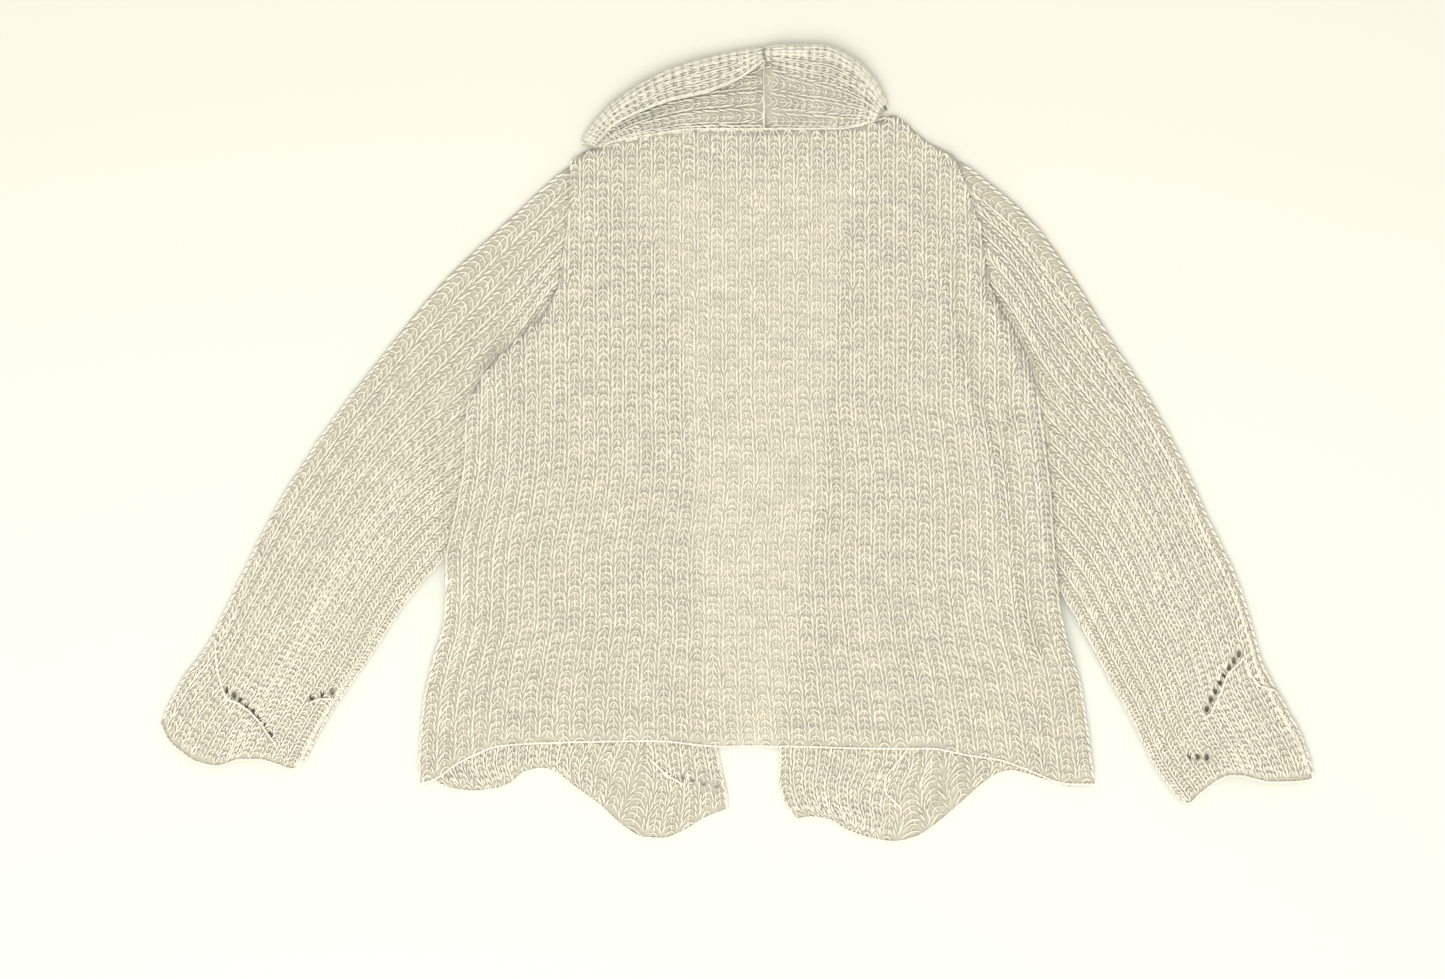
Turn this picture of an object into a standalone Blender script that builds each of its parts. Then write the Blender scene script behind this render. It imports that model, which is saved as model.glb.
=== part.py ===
"""An open-front knitted cardigan, laid face down: the back panel is uppermost.

Sizes are in millimetres until the last step. X runs across the garment, Y towards the
neck and Z up from the surface that it lies on. The origin is the middle of its underside.
"""
import math

import bmesh
import bpy
import numpy as np

# Knitted cloth
WALL = 2.4             # thickness of the cloth between its ribs
RIB_RISE = 1.1         # how far a rib stands out of the cloth
RIB_FOOT = 0.22        # half width of a rib's foot, as a share of the rib's own pitch
GAP = 0.3              # clearance between pieces that touch

# How high the layers lie
LOW = 0.0              # front layer, flat on the surface
TOUCH = 0.4            # height of a folded edge that comes down to the surface
OVER_SLEEVE = LOW + WALL + GAP + 0.05
OVER_FRONT = LOW + WALL + RIB_RISE + GAP
OVER_BOTH = OVER_SLEEVE + WALL + RIB_RISE + 2 * GAP
OVER_COLLAR = TOUCH + WALL + RIB_RISE + 2 * GAP + 0.2
SLEEVE_FULLNESS = 2.6  # how much a sleeve's back half arches over its front half

# Ribs of each piece
BACK_RIBS = 40
FRONT_RIBS = 19
SLEEVE_RIBS = 12
COLLAR_LENGTHS = 9     # ribs across half a collar, from the neck seam to its free edge
COLLAR_RIB_FOOT = 0.24
FLAT_SHARE = 0.5       # share of the folded half's section that lies flat and is plain

# Rows of points along each wall
BACK_ROWS = np.linspace(0.0, 1.0, 19)
SLEEVE_ROWS = np.linspace(0.0, 1.0, 20)
FRONT_ROWS = np.concatenate((np.linspace(0.0, 0.2, 4), np.linspace(0.3, 1.0, 8)))
COLLAR_LEFT_ROWS = np.linspace(0.0, 1.0, 15)
COLLAR_RIGHT_ROWS = np.linspace(0.0, 1.0, 11)
PLAIN_COLUMNS = 6
FRONT_HALF_INSET = 0.045    # how far a sleeve's front half keeps inside its back half, as a share
SHARP = math.radians(35)

# Pale marled yarn
YARN = (0.735, 0.685, 0.530, 1.0)

# Edges of the back panel: x along y for the sides, y along x for the hem and the top
BACK_SIDE_LEFT = {
    "y": (-316, -294, -239, -201, -164, -104, -58, -17, 38),
    "x": (-292, -294, -291, -282, -272, -269, -259, -252, -249),
}
BACK_SIDE_RIGHT = {
    "y": (-316, -276, -220, -183, -141, -53, 3, 40),
    "x": (333, 328, 319, 306, 298, 292, 285, 279),
}
BACK_HEM = {
    "x": (-294, -279, -262, -243, -221, -183, -76, -15, 40, 135, 179, 213, 245, 266, 310, 333),
    "y": (-316, -311, -299, -289, -281, -278, -276, -281, -281, -283, -283, -289, -294, -301, -316, -316),
}
BACK_TOP = {
    "x": (-249, -239, -220, -201, -183, -168, -160, -156, -154, -138, -90, -34, 27, 92, 138, 143, 177,
          204, 213, 222, 236, 256, 273, 279),
    "y": (38, 57, 82, 98, 115, 140, 180, 207, 260, 273, 285, 292, 292, 292, 303, 306, 282,
          265, 239, 217, 143, 106, 72, 40),
}
OVER_V = 1.4           # height of the back over the open V between the fronts
V_EDGE = {"start": 7.0, "width": 16.0}
V_TOP = {"start": 225.0, "width": 60.0}
SLEEVE_EDGE = {"start": 4.0, "width": 34.0}
COLLAR_EDGE = {"start": 225.0, "width": 35.0}
NOTCH_FADE = 30.0
NOTCH_LEFT = -106      # where each sleeve parts from the body's side
NOTCH_RIGHT = -150
UNDERARM = 38          # height of the underarms: above it the ribs run straight up
BACK_RIB_FEET = {"u": (0, 1), "foot": (-294, 333)}
LEAN = 80.0            # how far above its foot a rib starts to lean

# Fronts: x along y for the side and the open edge, y along x for the hem and the top.
# The ribs lean and fan out towards the hem: the foot of the rib at each share u of the width.
FRONT_LEFT = {
    "side": {"y": (-318, -294, -239, -201, -164, -118), "x": (-277, -288, -284, -275, -265, -254)},
    "edge": {"y": (-340, -332, -311, -280, -146, -118), "x": (-9, -9, -13, -19, -36, -37)},
    "hem": {"x": (-277, -262, -243, -225, -211, -196, -181, -169, -154, -127, -106, -86, -69, -51, -29, -9),
            "y": (-316, -321, -323, -321, -316, -305, -302, -305, -316, -336, -355, -366, -367, -361, -348,
                  -340)},
    "top": {"x": (-254, -219, -188, -182, -165, -151, -144, -140, -138, -125, -108, -92, -68, -56, -47, -42,
                  -37),
            "y": (-118, -75, -25, 30, 87, 140, 180, 206, 250, 256, 256, 222, 152, 115, 40, -30,
                  -118)},
    "ribs": {"u": (0, 0.234, 0.401, 0.543, 0.729, 0.777, 0.848, 0.955, 1),
             "foot": (-277, -222, -190, -158, -112, -88, -62, -21, -9)},
    "level": -118,
}
FRONT_RIGHT = {
    "side": {"y": (-349, -335, -311, -283, -146), "x": (56, 45, 39, 40, 59)},
    "edge": {"y": (-319, -294, -257, -220, -183, -146), "x": (310, 323, 320, 312, 300, 290)},
    "hem": {"x": (56, 71, 87, 102, 126, 146, 168, 190, 212, 229, 245, 255, 266, 289, 310),
            "y": (-349, -347, -350, -359, -367, -370, -365, -350, -331, -316, -306, -304, -306, -313, -319)},
    "top": {"x": (59, 76, 86, 96, 106, 116, 133, 168, 186, 195, 208, 217, 223, 228, 256, 290),
            "y": (-146, -53, 40, 133, 226, 268, 276, 262, 248, 213, 141, 92, 30, -40, -92, -146)},
    "ribs": {"u": (0, 0.064, 0.164, 0.32, 0.42, 0.48, 0.569, 0.712, 0.89, 1),
             "foot": (56, 71, 92, 120, 142, 178, 220, 260, 291, 310)},
    "level": -146,
}

# Sleeves: four edges each, as (x, y) from the shoulder down or from the outer fold inwards
SLEEVE_LEFT = {
    "fan": 22,
    "outer": ((-157, 257), (-172, 245), (-201, 218), (-225, 196), (-272, 151), (-332, 78), (-375, 22),
              (-424, -53), (-462, -127), (-479, -164), (-495, -193), (-515, -220), (-535, -259)),
    "inner": ((-196, -28), (-235, -62), (-274, -110), (-305, -146), (-342, -201), (-381, -257), (-401, -294)),
    "cap": ((-157, 257), (-150, 242), (-148, 209), (-152, 180), (-160, 140), (-176, 87), (-191, 30),
            (-196, -28)),
    "cuff": ((-535, -259), (-527, -275), (-515, -286), (-501, -295), (-482, -299), (-459, -293), (-444, -293),
             (-428, -297), (-412, -302), (-401, -294)),
}
SLEEVE_RIGHT = {
    "fan": -20,
    "outer": ((207, 263), (231, 246), (273, 209), (315, 152), (349, 96), (385, 40), (414, -15),
              (439, -71), (465, -127), (477, -164), (487, -201), (507, -239), (526, -276), (535, -304)),
    "inner": ((236, -44), (266, -84), (304, -145), (326, -183), (346, -220), (367, -257), (385, -294),
              (397, -313), (413, -332)),
    "cap": ((207, 263), (199, 250), (206, 236), (213, 213), (226, 141), (233, 96), (238, 40), (236, -44)),
    "cuff": ((535, -304), (534, -311), (509, -314), (494, -314), (480, -311), (466, -308), (458, -308),
             (449, -311), (440, -317), (430, -325), (419, -334), (413, -332)),
}

FAN_END = 0.42         # share of the sleeve's length where its ribs run straight on
PRESSED_ACROSS = {"start": 0.3, "width": 0.4}   # where the body presses a sleeve flat, as shares
PRESSED_DOWN = {"start": 0.42, "width": 0.2}
FILLS = {"start": 0.0, "width": 0.25}

# Collar halves: seam, fold and free edge at each station along the neck, and their heights
COLLAR_LEFT = {
    "seam_x": (-123, -115, -102, -83, -57, -29, -1, 25.4),
    "seam_y": (274, 278, 282, 286, 290, 292, 292, 292),
    "far_x": (-145, -137, -119, -95, -64, -30, 2, 25.4),
    "far_y": (278, 291, 311, 329, 345, 356, 363, 367),
    "free_x": (-135, -124, -109, -87, -61, -29, 1, 25.4),
    "free_y": (273, 287, 298, 308, 319, 326, 338, 356),
    "fold_z": (5.0, 9.0, 11.5, 12.0, 11.0, 10.0, 9.0, 8.0),
    "free_z": (8.0, 13.0, 16.0, 15.0, 12.0, 11.0, 10.5, 10.5),
}
COLLAR_RIGHT = {
    "seam_x": (26.0, 50, 73, 95, 114, 130),
    "seam_y": (292, 292, 292, 292, 295, 299),
    "far_x": (26.0, 52, 78, 104, 124, 141),
    "far_y": (368, 369, 369, 359, 341, 312),
    "valley": (0.80, 0.70, 0.62, 0.60, 0.56, 0.50),
    "roll_z": (11.0, 13.0, 14.0, 14.0, 12.0, 8.0),
}
TUCK = 5.0             # how far the collar runs in under the neck edge of the back
SEAM = 1.0             # how far past its seam the collar lies flat
STAND_Z = TOUCH + WALL / 2
FOLD_DEEP = 4.0        # how deep the round of the fold is
SWELL = 0.6            # how much the folded cloth swells
ROLL = {"stand": 2.4, "valley": 1.6, "foot": 0.2, "wide": 5.0, "top": 0.72, "shoulder": 0.66, "side": 0.4}

# Folds: soft ridges as (x, y) at both ends, half width and height
BACK_FOLDS = {
    "from": ((-140, 148), (-222, 66), (-243, 20), (212, 170), (262, 60), (180, 150), (196, 60), (222, -60),
             (-205, 0), (-36, -150), (60, -150)),
    "to": ((-222, 70), (-243, 20), (-258, -70), (262, 60), (276, -90), (196, 60), (222, -60), (240, -150),
           (-222, -90), (-20, -270), (48, -270)),
    "half_width": (16, 15, 11, 13, 13, 16, 16, 16, 14, 7, 7),
    "height": (5.0, 6.0, 4.0, 4.5, 5.0, 1.8, 2.0, 1.2, 1.5, 1.2, 0.8),
}

# Eyelets, as rows of holes: middles at both ends and at the bend, and how many
EYELET_WIDE = 4.2
EYELET_LONG = 6.6
EYELET_SIDES = 8
CUTTER_DEPTH = 30.0
EYELET_ROWS = {
    "sleeve_left_back": (((-472, -229), (-450, -243), (-432, -270), 8),
                         ((-394, -236), (-384, -232), (-375, -230), 3)),
    "sleeve_right_back": (((466, -195), (449, -216), (436, -246), 8),
                          ((420, -290), (427, -290), (436, -291), 3)),
    "front_left": (((-49, -309), (-38, -313), (-19, -317), 4),),
}


def along(table, key, value, at):
    """A smooth curve through a table's columns, which never swings past its own points."""
    x = np.array(table[key], dtype=float)
    y = np.array(table[value], dtype=float)
    step = np.diff(x)
    slope = np.diff(y) / step
    tangent = np.zeros(len(x))
    same = slope[:-1] * slope[1:] > 0.0
    mean = 2.0 * slope[:-1] * slope[1:] / np.where(same, slope[:-1] + slope[1:], 1.0)
    tangent[1:-1] = np.where(same, mean, 0.0)
    tangent[0] = slope[0]
    tangent[-1] = slope[-1]
    at = np.clip(np.asarray(at, dtype=float), x[0], x[-1])
    cell = np.clip(np.searchsorted(x, at) - 1, 0, len(step) - 1)
    t = (at - x[cell]) / step[cell]
    h = step[cell]
    return ((1 + 2 * t) * (1 - t) ** 2 * y[cell] + t * (1 - t) ** 2 * h * tangent[cell]
            + t * t * (3 - 2 * t) * y[cell + 1] + t * t * (t - 1) * h * tangent[cell + 1])


def edge_curve(points, at):
    """Points at shares of the length of a smooth edge."""
    points = np.array(points, dtype=float)
    length = np.concatenate(([0.0], np.cumsum(np.hypot(*np.diff(points, axis=0).T))))
    table = {"s": length / length[-1], "x": points[:, 0], "y": points[:, 1]}
    return along(table, "s", "x", at), along(table, "s", "y", at)


def ease(t):
    """Zero to one with soft ends."""
    t = np.clip(t, 0.0, 1.0)
    return t * t * (3.0 - 2.0 * t)


def past(step, at):
    """Zero up to the start of a step, and one past its width."""
    return ease((at - step["start"]) / step["width"])


def distance_to_line(x, y, points):
    """Distance to a line of points, and the side: above zero on its right going along it."""
    best = np.full(np.shape(x), 1e9)
    side = np.zeros(np.shape(x))
    for (ax, ay), (bx, by) in zip(points[:-1], points[1:]):
        dx, dy = bx - ax, by - ay
        t = np.clip(((x - ax) * dx + (y - ay) * dy) / (dx * dx + dy * dy), 0.0, 1.0)
        away = np.hypot(x - ax - t * dx, y - ay - t * dy)
        nearer = away < best
        best = np.where(nearer, away, best)
        side = np.where(nearer, np.sign((x - ax) * dy - (y - ay) * dx), side)
    return best, side


def folds(table, x, y):
    """Height of all the ridges of a table at a place."""
    rise = np.zeros(np.shape(x))
    for start, end, half_width, height in zip(*table.values()):
        away, _ = distance_to_line(x, y, (start, end))
        rise = rise + height * np.exp(-(away / half_width) ** 2)
    return rise


def hanging(side, edge, hem, top, level, ribs):
    """Place of a panel whose ribs run up from their feet on the hem, straight up above one level."""
    def place(u, v):
        def across(y):
            return (1 - u) * along(side, "y", "x", y) + u * along(edge, "y", "x", y)

        foot_x = along(ribs, "u", "foot", u)
        foot_y = along(hem, "x", "y", foot_x)
        lean = foot_x - across(foot_y)
        straight_x = across(np.full(np.shape(u), float(level)))
        y = (1 - v) * foot_y + v * along(top, "x", "y", straight_x)
        x = across(y) + lean * (1.0 - ease((y - foot_y) / LEAN))
        return np.where(y < level, x, straight_x), y
    return place


def tube_face(edges, inset=0.0):
    """Place of one face of a flattened tube between its four edges, u across and v down it."""
    def place(u, v):
        u = inset + (1 - 2 * inset) * u
        out_x, out_y = edge_curve(edges["outer"], v)
        in_x, in_y = edge_curve(edges["inner"], v)
        cap_x, cap_y = edge_curve(edges["cap"], u)
        cuff_x, cuff_y = edge_curve(edges["cuff"], u)
        corner = [edges["outer"][0], edges["inner"][0], edges["outer"][-1], edges["inner"][-1]]
        both = []
        for axis, (a, b, c, d) in enumerate(((out_x, in_x, cap_x, cuff_x), (out_y, in_y, cap_y, cuff_y))):
            flat = ((1 - u) * (1 - v) * corner[0][axis] + u * (1 - v) * corner[1][axis]
                    + (1 - u) * v * corner[2][axis] + u * v * corner[3][axis])
            both.append((1 - u) * a + u * b + (1 - v) * c + v * d - flat)
        fan = edges["fan"] * np.sin(np.pi * u) * np.sin(np.pi * np.clip(v / FAN_END, 0.0, 1.0)) ** 2
        return both[0] + fan, both[1]
    return place


def knit_colour():
    """Pale marled yarn."""
    material = bpy.data.materials.new("knit")
    material.use_nodes = True
    shader = material.node_tree.nodes["Principled BSDF"]
    shader.inputs["Base Color"].default_value = YARN
    shader.inputs["Roughness"].default_value = 0.95
    shader.inputs["Metallic"].default_value = 0.0
    return material


def add_object(name, bm, collection):
    """A mesh object in metres, with its own material."""
    bmesh.ops.scale(bm, vec=(0.001, 0.001, 0.001), verts=bm.verts)
    bmesh.ops.recalc_face_normals(bm, faces=bm.faces)
    mesh = bpy.data.meshes.new(name)
    bm.to_mesh(mesh)
    bm.free()
    material = knit_colour()
    material.name = name
    mesh.materials.append(material)
    mesh.shade_smooth()
    mesh.set_sharp_from_angle(angle=SHARP)
    piece = bpy.data.objects.new(name, mesh)
    collection.objects.link(piece)
    return piece


def loft(name, rings, top, low, collection):
    """A closed wall through rings of the same points, its two ends closed by strips.

    top holds the places in a ring of its upper points, and low those of its lower points
    from the same end, as pairs (place in the ring, upper point above it).
    """
    bm = bmesh.new()
    rows = [[bm.verts.new(point) for point in ring] for ring in rings]
    count = len(rows[0])
    for here, there in zip(rows[:-1], rows[1:]):
        for i in range(count):
            j = (i + 1) % count
            bm.faces.new((here[i], here[j], there[j], there[i]))
    for row in (rows[0], rows[-1]):
        for (low_a, top_a), (low_b, top_b) in zip(low[:-1], low[1:]):
            above = [row[k] for k in top if top_a <= k <= top_b]
            bm.faces.new([row[low_b], row[low_a]] + above)
    return add_object(name, bm, collection)


def rib_columns(ribs, foot=RIB_FOOT):
    """Columns across a ribbed wall with the rise at each, and those that its plain side keeps."""
    share = []
    rise = []
    for k in range(ribs):
        share += [k / ribs, (k + foot) / ribs, (k + 1 - foot) / ribs]
        rise += [1.0, 0.0, 0.0]
    share.append(1.0)
    rise.append(1.0)
    keep = [0, 1] + [3 * k for k in range(1, ribs)] + [3 * ribs - 1, 3 * ribs]
    return np.array(share), np.array(rise), keep


def ribbed_wall(name, place, under, ribs, rows, collection):
    """A cloth wall with a plain underside and ribs along v on its upper side."""
    u, rise, keep = rib_columns(ribs)
    rings = []
    for v in rows:
        x, y = place(u, np.full(len(u), v))
        low_z = under(x, y, u, v)
        upper = [(a, b, c) for a, b, c in zip(x, y, low_z + WALL + RIB_RISE * rise)]
        lower = [(x[k], y[k], low_z[k]) for k in reversed(keep)]
        rings.append(upper + lower)
    top = list(range(len(u)))
    last = len(u) + len(keep) - 1
    low = [(last - n, k) for n, k in enumerate(keep)]
    return loft(name, rings, top, low, collection)


def plain_wall(name, place, columns, rows, collection):
    """A flat cloth wall that lies on the surface under another."""
    u = np.linspace(0.0, 1.0, columns + 1)
    rings = []
    for v in rows:
        x, y = place(u, np.full(len(u), v))
        upper = [(a, b, LOW + WALL) for a, b in zip(x, y)]
        lower = [(a, b, LOW) for a, b in zip(x[::-1], y[::-1])]
        rings.append(upper + lower)
    top = list(range(len(u)))
    low = [(2 * len(u) - 1 - k, k) for k in top]
    return loft(name, rings, top, low, collection)


def back_under(x, y, u, v):
    """Height of the back panel's underside over the fronts, the sleeves and the open V."""
    height = np.full(np.shape(x), OVER_FRONT)
    left = along(FRONT_LEFT["edge"], "y", "x", y)
    left = np.where(y > FRONT_LEFT["level"], along_v_edge(FRONT_LEFT["top"], slice(-1, -8, -1), y), left)
    right = along(FRONT_RIGHT["side"], "y", "x", y)
    right = np.where(y > FRONT_RIGHT["level"], along_v_edge(FRONT_RIGHT["top"], slice(0, 6), y), right)
    inside = np.minimum(x - left, right - x)
    below_neck = 1.0 - past(V_TOP, y)
    height = height - (OVER_FRONT - OVER_V) * past(V_EDGE, inside) * below_neck
    for cap, inner, sign in ((SLEEVE_LEFT["cap"], SLEEVE_LEFT["inner"], 1.0),
                             (SLEEVE_RIGHT["cap"], SLEEVE_RIGHT["inner"], -1.0)):
        away, side = distance_to_line(x, y, tuple(cap) + tuple(inner[1:4]))
        signed = away * side * sign
        height = height + (OVER_BOTH - OVER_FRONT) * (1.0 - past(SLEEVE_EDGE, -signed))
    height = height + folds(BACK_FOLDS, x, y)
    height = np.maximum(height, OVER_COLLAR * past(COLLAR_EDGE, y))
    free = ease((np.where(u < 0.5, NOTCH_LEFT, NOTCH_RIGHT) - y) / NOTCH_FADE)
    height = height - (height - TOUCH) * turned_down(u, BACK_RIBS) * free
    return np.maximum(height, TOUCH)


def turned_down(u, ribs):
    """How far an edge is turned down: fully at u 0 and 1, not at all from the first rib's foot."""
    return 1.0 - np.sin(np.clip(np.minimum(u, 1.0 - u) * ribs / RIB_FOOT, 0.0, 1.0) * np.pi / 2)


def along_v_edge(top, points, y):
    """The open V edge of a front, read as x along y from one end of its top table."""
    return along({"y": top["y"][points], "x": top["x"][points]}, "y", "x", y)


def front_under(x, y, u, v):
    """Height of a front's underside, flat on the surface."""
    return np.full(np.shape(x), LOW)


def sleeve_under(x, y, u, v):
    """Height of a sleeve's back half: arched, but flat under the body and turned down at its folds."""
    pressed = past(PRESSED_ACROSS, u) * (1.0 - past(PRESSED_DOWN, v))
    arch = OVER_SLEEVE + SLEEVE_FULLNESS * np.sin(np.pi * u) * past(FILLS, v) * (1.0 - pressed)
    return arch - (arch - TOUCH) * turned_down(u, SLEEVE_RIBS)


def cut_eyelets(piece, rows, cutters):
    """Cuts rows of oval holes through a wall, one closed cutter for the whole piece."""
    bm = bmesh.new()
    for start, bend, end, count in rows:
        for k in range(count):
            t = k / (count - 1)
            x = (1 - t) ** 2 * start[0] + 2 * t * (1 - t) * bend[0] + t * t * end[0]
            y = (1 - t) ** 2 * start[1] + 2 * t * (1 - t) * bend[1] + t * t * end[1]
            hole = bmesh.ops.create_cone(bm, cap_ends=True, segments=EYELET_SIDES, radius1=0.5, radius2=0.5,
                                         depth=CUTTER_DEPTH)
            bmesh.ops.scale(bm, vec=(EYELET_WIDE, EYELET_LONG, 1.0), verts=hole["verts"])
            bmesh.ops.translate(bm, vec=(x, y, 0.0), verts=hole["verts"])
    cutter = add_object(piece.name + "_eyelets", bm, cutters)
    cutter.hide_render = True
    cutter.display_type = "WIRE"
    cut = piece.modifiers.new("eyelets", "BOOLEAN")
    cut.operation = "DIFFERENCE"
    cut.solver = "EXACT"
    cut.object = cutter


def collar_ring(path, face, plain_share):
    """Points round a section: ribs raised on the face that is seen, the other side plain.

    The ribs start at plain_share of the section, past the stretch that rests flat.
    """
    share, rise, keep = rib_columns(COLLAR_LENGTHS, COLLAR_RIB_FOOT)
    rise = np.where(share < plain_share, 0.0, rise)
    s = np.linspace(0.0, 1.0, len(path))
    table = {"s": s, "a": path[:, 0], "z": path[:, 1]}
    a = along(table, "s", "a", share)
    z = along(table, "s", "z", share)
    da = np.gradient(a, share)
    dz = np.gradient(z, share)
    size = np.hypot(da, dz)
    na, nz = -dz / size, da / size
    out = (WALL / 2 + RIB_RISE * rise) * face
    inner = WALL / 2 * face
    seen = [(a[k] + na[k] * out[k], z[k] + nz[k] * out[k]) for k in range(len(share))]
    plain = [(a[k] - na[k] * inner, z[k] - nz[k] * inner) for k in reversed(keep)]
    return seen, plain, keep


def collar_half(name, table, profile, stations, face, plain_share, collection):
    """Half a collar, lofted along the neck through sections that reach out from its seam.

    face is 1 where the seen face is on the left of a section's path, and -1 on its right.
    """
    s = np.linspace(0.0, 1.0, len(table["seam_x"]))
    rings = []
    for t in stations:
        row = {}
        for column, values in table.items():
            row[column] = float(along({"s": s, "v": values}, "s", "v", t))
        reach = math.hypot(row["far_x"] - row["seam_x"], row["far_y"] - row["seam_y"])
        out_x = (row["far_x"] - row["seam_x"]) / reach
        out_y = (row["far_y"] - row["seam_y"]) / reach
        seen, plain, keep = collar_ring(profile(row, reach), face, plain_share)
        ring = [(row["seam_x"] + a * out_x, row["seam_y"] + a * out_y, z) for a, z in seen + plain]
        rings.append(ring)
    upper = list(range(3 * COLLAR_LENGTHS + 1))
    last = len(rings[0]) - 1
    low = [(last - n, k) for n, k in enumerate(keep)]
    return loft(name, rings, upper, low, collection)


def fold_over(row, reach):
    """Section of the half that is folded over: up to the fold and back to the free edge."""
    fall = math.hypot(row["far_x"] - row["free_x"], row["far_y"] - row["free_y"])
    fold_z = row["fold_z"]
    tip = reach - WALL / 2
    return np.array((
        (-TUCK, STAND_Z),
        (SEAM, STAND_Z),
        (reach / 3, STAND_Z),
        (reach * 2 / 3, STAND_Z + SWELL / 2),
        (tip - FOLD_DEEP, STAND_Z + SWELL),
        (tip, (STAND_Z + fold_z) / 2),
        (tip - FOLD_DEEP, fold_z + SWELL),
        (tip - fall / 2, (fold_z + row["free_z"]) / 2 + SWELL),
        (tip - fall, row["free_z"]),
    ))


def roll_back(row, reach):
    """Section of the half that stands: up to a valley, then a soft roll down to the surface."""
    tip = reach - WALL / 2
    valley = row["valley"] * reach
    return np.array((
        (-TUCK, STAND_Z),
        (SEAM, STAND_Z),
        (valley / 2, STAND_Z + ROLL["stand"]),
        (valley, STAND_Z + ROLL["valley"]),
        ((valley + tip) / 2, row["roll_z"] * ROLL["top"]),
        (tip - ROLL["wide"], row["roll_z"] * ROLL["shoulder"]),
        (tip - SEAM, row["roll_z"] * ROLL["side"]),
        (tip, STAND_Z + ROLL["foot"]),
    ))


def main():
    for old in list(bpy.data.objects):
        bpy.data.objects.remove(old, do_unlink=True)
    garment = bpy.data.collections.new("cardigan")
    cutters = bpy.data.collections.new("cutters")
    bpy.context.scene.collection.children.link(garment)
    bpy.context.scene.collection.children.link(cutters)

    back = hanging(BACK_SIDE_LEFT, BACK_SIDE_RIGHT, BACK_HEM, BACK_TOP, UNDERARM, BACK_RIB_FEET)
    ribbed_wall("back", back, back_under, BACK_RIBS, BACK_ROWS, garment)

    left = hanging(FRONT_LEFT["side"], FRONT_LEFT["edge"], FRONT_LEFT["hem"], FRONT_LEFT["top"],
                   FRONT_LEFT["level"], FRONT_LEFT["ribs"])
    right = hanging(FRONT_RIGHT["side"], FRONT_RIGHT["edge"], FRONT_RIGHT["hem"], FRONT_RIGHT["top"],
                    FRONT_RIGHT["level"], FRONT_RIGHT["ribs"])
    front = ribbed_wall("front_left", left, front_under, FRONT_RIBS, FRONT_ROWS, garment)
    cut_eyelets(front, EYELET_ROWS["front_left"], cutters)
    ribbed_wall("front_right", right, front_under, FRONT_RIBS, FRONT_ROWS, garment)

    for side, edges in (("left", SLEEVE_LEFT), ("right", SLEEVE_RIGHT)):
        upper = ribbed_wall(f"sleeve_{side}_back", tube_face(edges), sleeve_under, SLEEVE_RIBS,
                            SLEEVE_ROWS, garment)
        cut_eyelets(upper, EYELET_ROWS[upper.name], cutters)
        plain_wall(f"sleeve_{side}_front", tube_face(edges, FRONT_HALF_INSET), PLAIN_COLUMNS, SLEEVE_ROWS,
                   garment)

    collar_half("collar_left", COLLAR_LEFT, fold_over, COLLAR_LEFT_ROWS, -1.0, FLAT_SHARE, garment)
    collar_half("collar_right", COLLAR_RIGHT, roll_back, COLLAR_RIGHT_ROWS, 1.0, 0.0, garment)


main()
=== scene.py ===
"""The looks of an open-front knitted cardigan that lies face down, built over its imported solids.

Lengths are millimetres until a mesh is made, except in the stage, which is in metres. X runs
across the garment, Y towards the neck and Z up from the surface that it lies on.
"""

import bpy
import numpy as np
from bpy.props import FloatProperty, FloatVectorProperty, IntProperty, PointerProperty
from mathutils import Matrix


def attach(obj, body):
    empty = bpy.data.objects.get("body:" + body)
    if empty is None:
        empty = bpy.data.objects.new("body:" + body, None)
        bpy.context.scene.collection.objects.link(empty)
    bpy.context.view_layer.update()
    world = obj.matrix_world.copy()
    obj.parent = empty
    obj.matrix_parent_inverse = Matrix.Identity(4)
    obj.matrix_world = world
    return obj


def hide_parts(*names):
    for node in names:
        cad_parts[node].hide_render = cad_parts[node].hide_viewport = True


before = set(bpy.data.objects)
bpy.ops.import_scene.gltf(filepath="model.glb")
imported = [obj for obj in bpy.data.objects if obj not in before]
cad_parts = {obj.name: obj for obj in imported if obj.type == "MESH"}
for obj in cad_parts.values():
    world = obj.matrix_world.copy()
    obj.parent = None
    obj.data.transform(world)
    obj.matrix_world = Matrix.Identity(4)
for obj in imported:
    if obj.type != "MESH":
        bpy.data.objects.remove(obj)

bl_info = {
    "name": "Knitted Shawl Collar Cardigan",
    "version": (1, 0, 0),
    "blender": (4, 5, 0),
    "location": "3D View > Sidebar > Cardigan",
    "description": "Dresses the solids of a laid-out cardigan in knitted cloth, stitch by stitch",
    "category": "Add Mesh",
}

MILLIMETRE = 0.001
BODY = "root"

# How the layers of cloth lie on each other, as in the solids
WALL = 2.4
RIB_RISE = 1.1
GAP = 0.3
RIB_FOOT = 0.22
LOW = 0.0
TOUCH = 0.4
OVER_SLEEVE = LOW + WALL + GAP + 0.05
OVER_FRONT = LOW + WALL + RIB_RISE + GAP
OVER_BOTH = OVER_SLEEVE + WALL + RIB_RISE + 2 * GAP
OVER_COLLAR = TOUCH + WALL + RIB_RISE + 2 * GAP + 0.2
SLEEVE_FULLNESS = 2.6

# Ribs of the back and of a sleeve in the solids, and the finer columns of stitches of the others
BACK_RIBS = 40
SLEEVE_RIBS = 12
FRONT_COLUMNS = 23
SLEEVE_COLUMNS = 14
COLLAR_ROWS = 13

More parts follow.
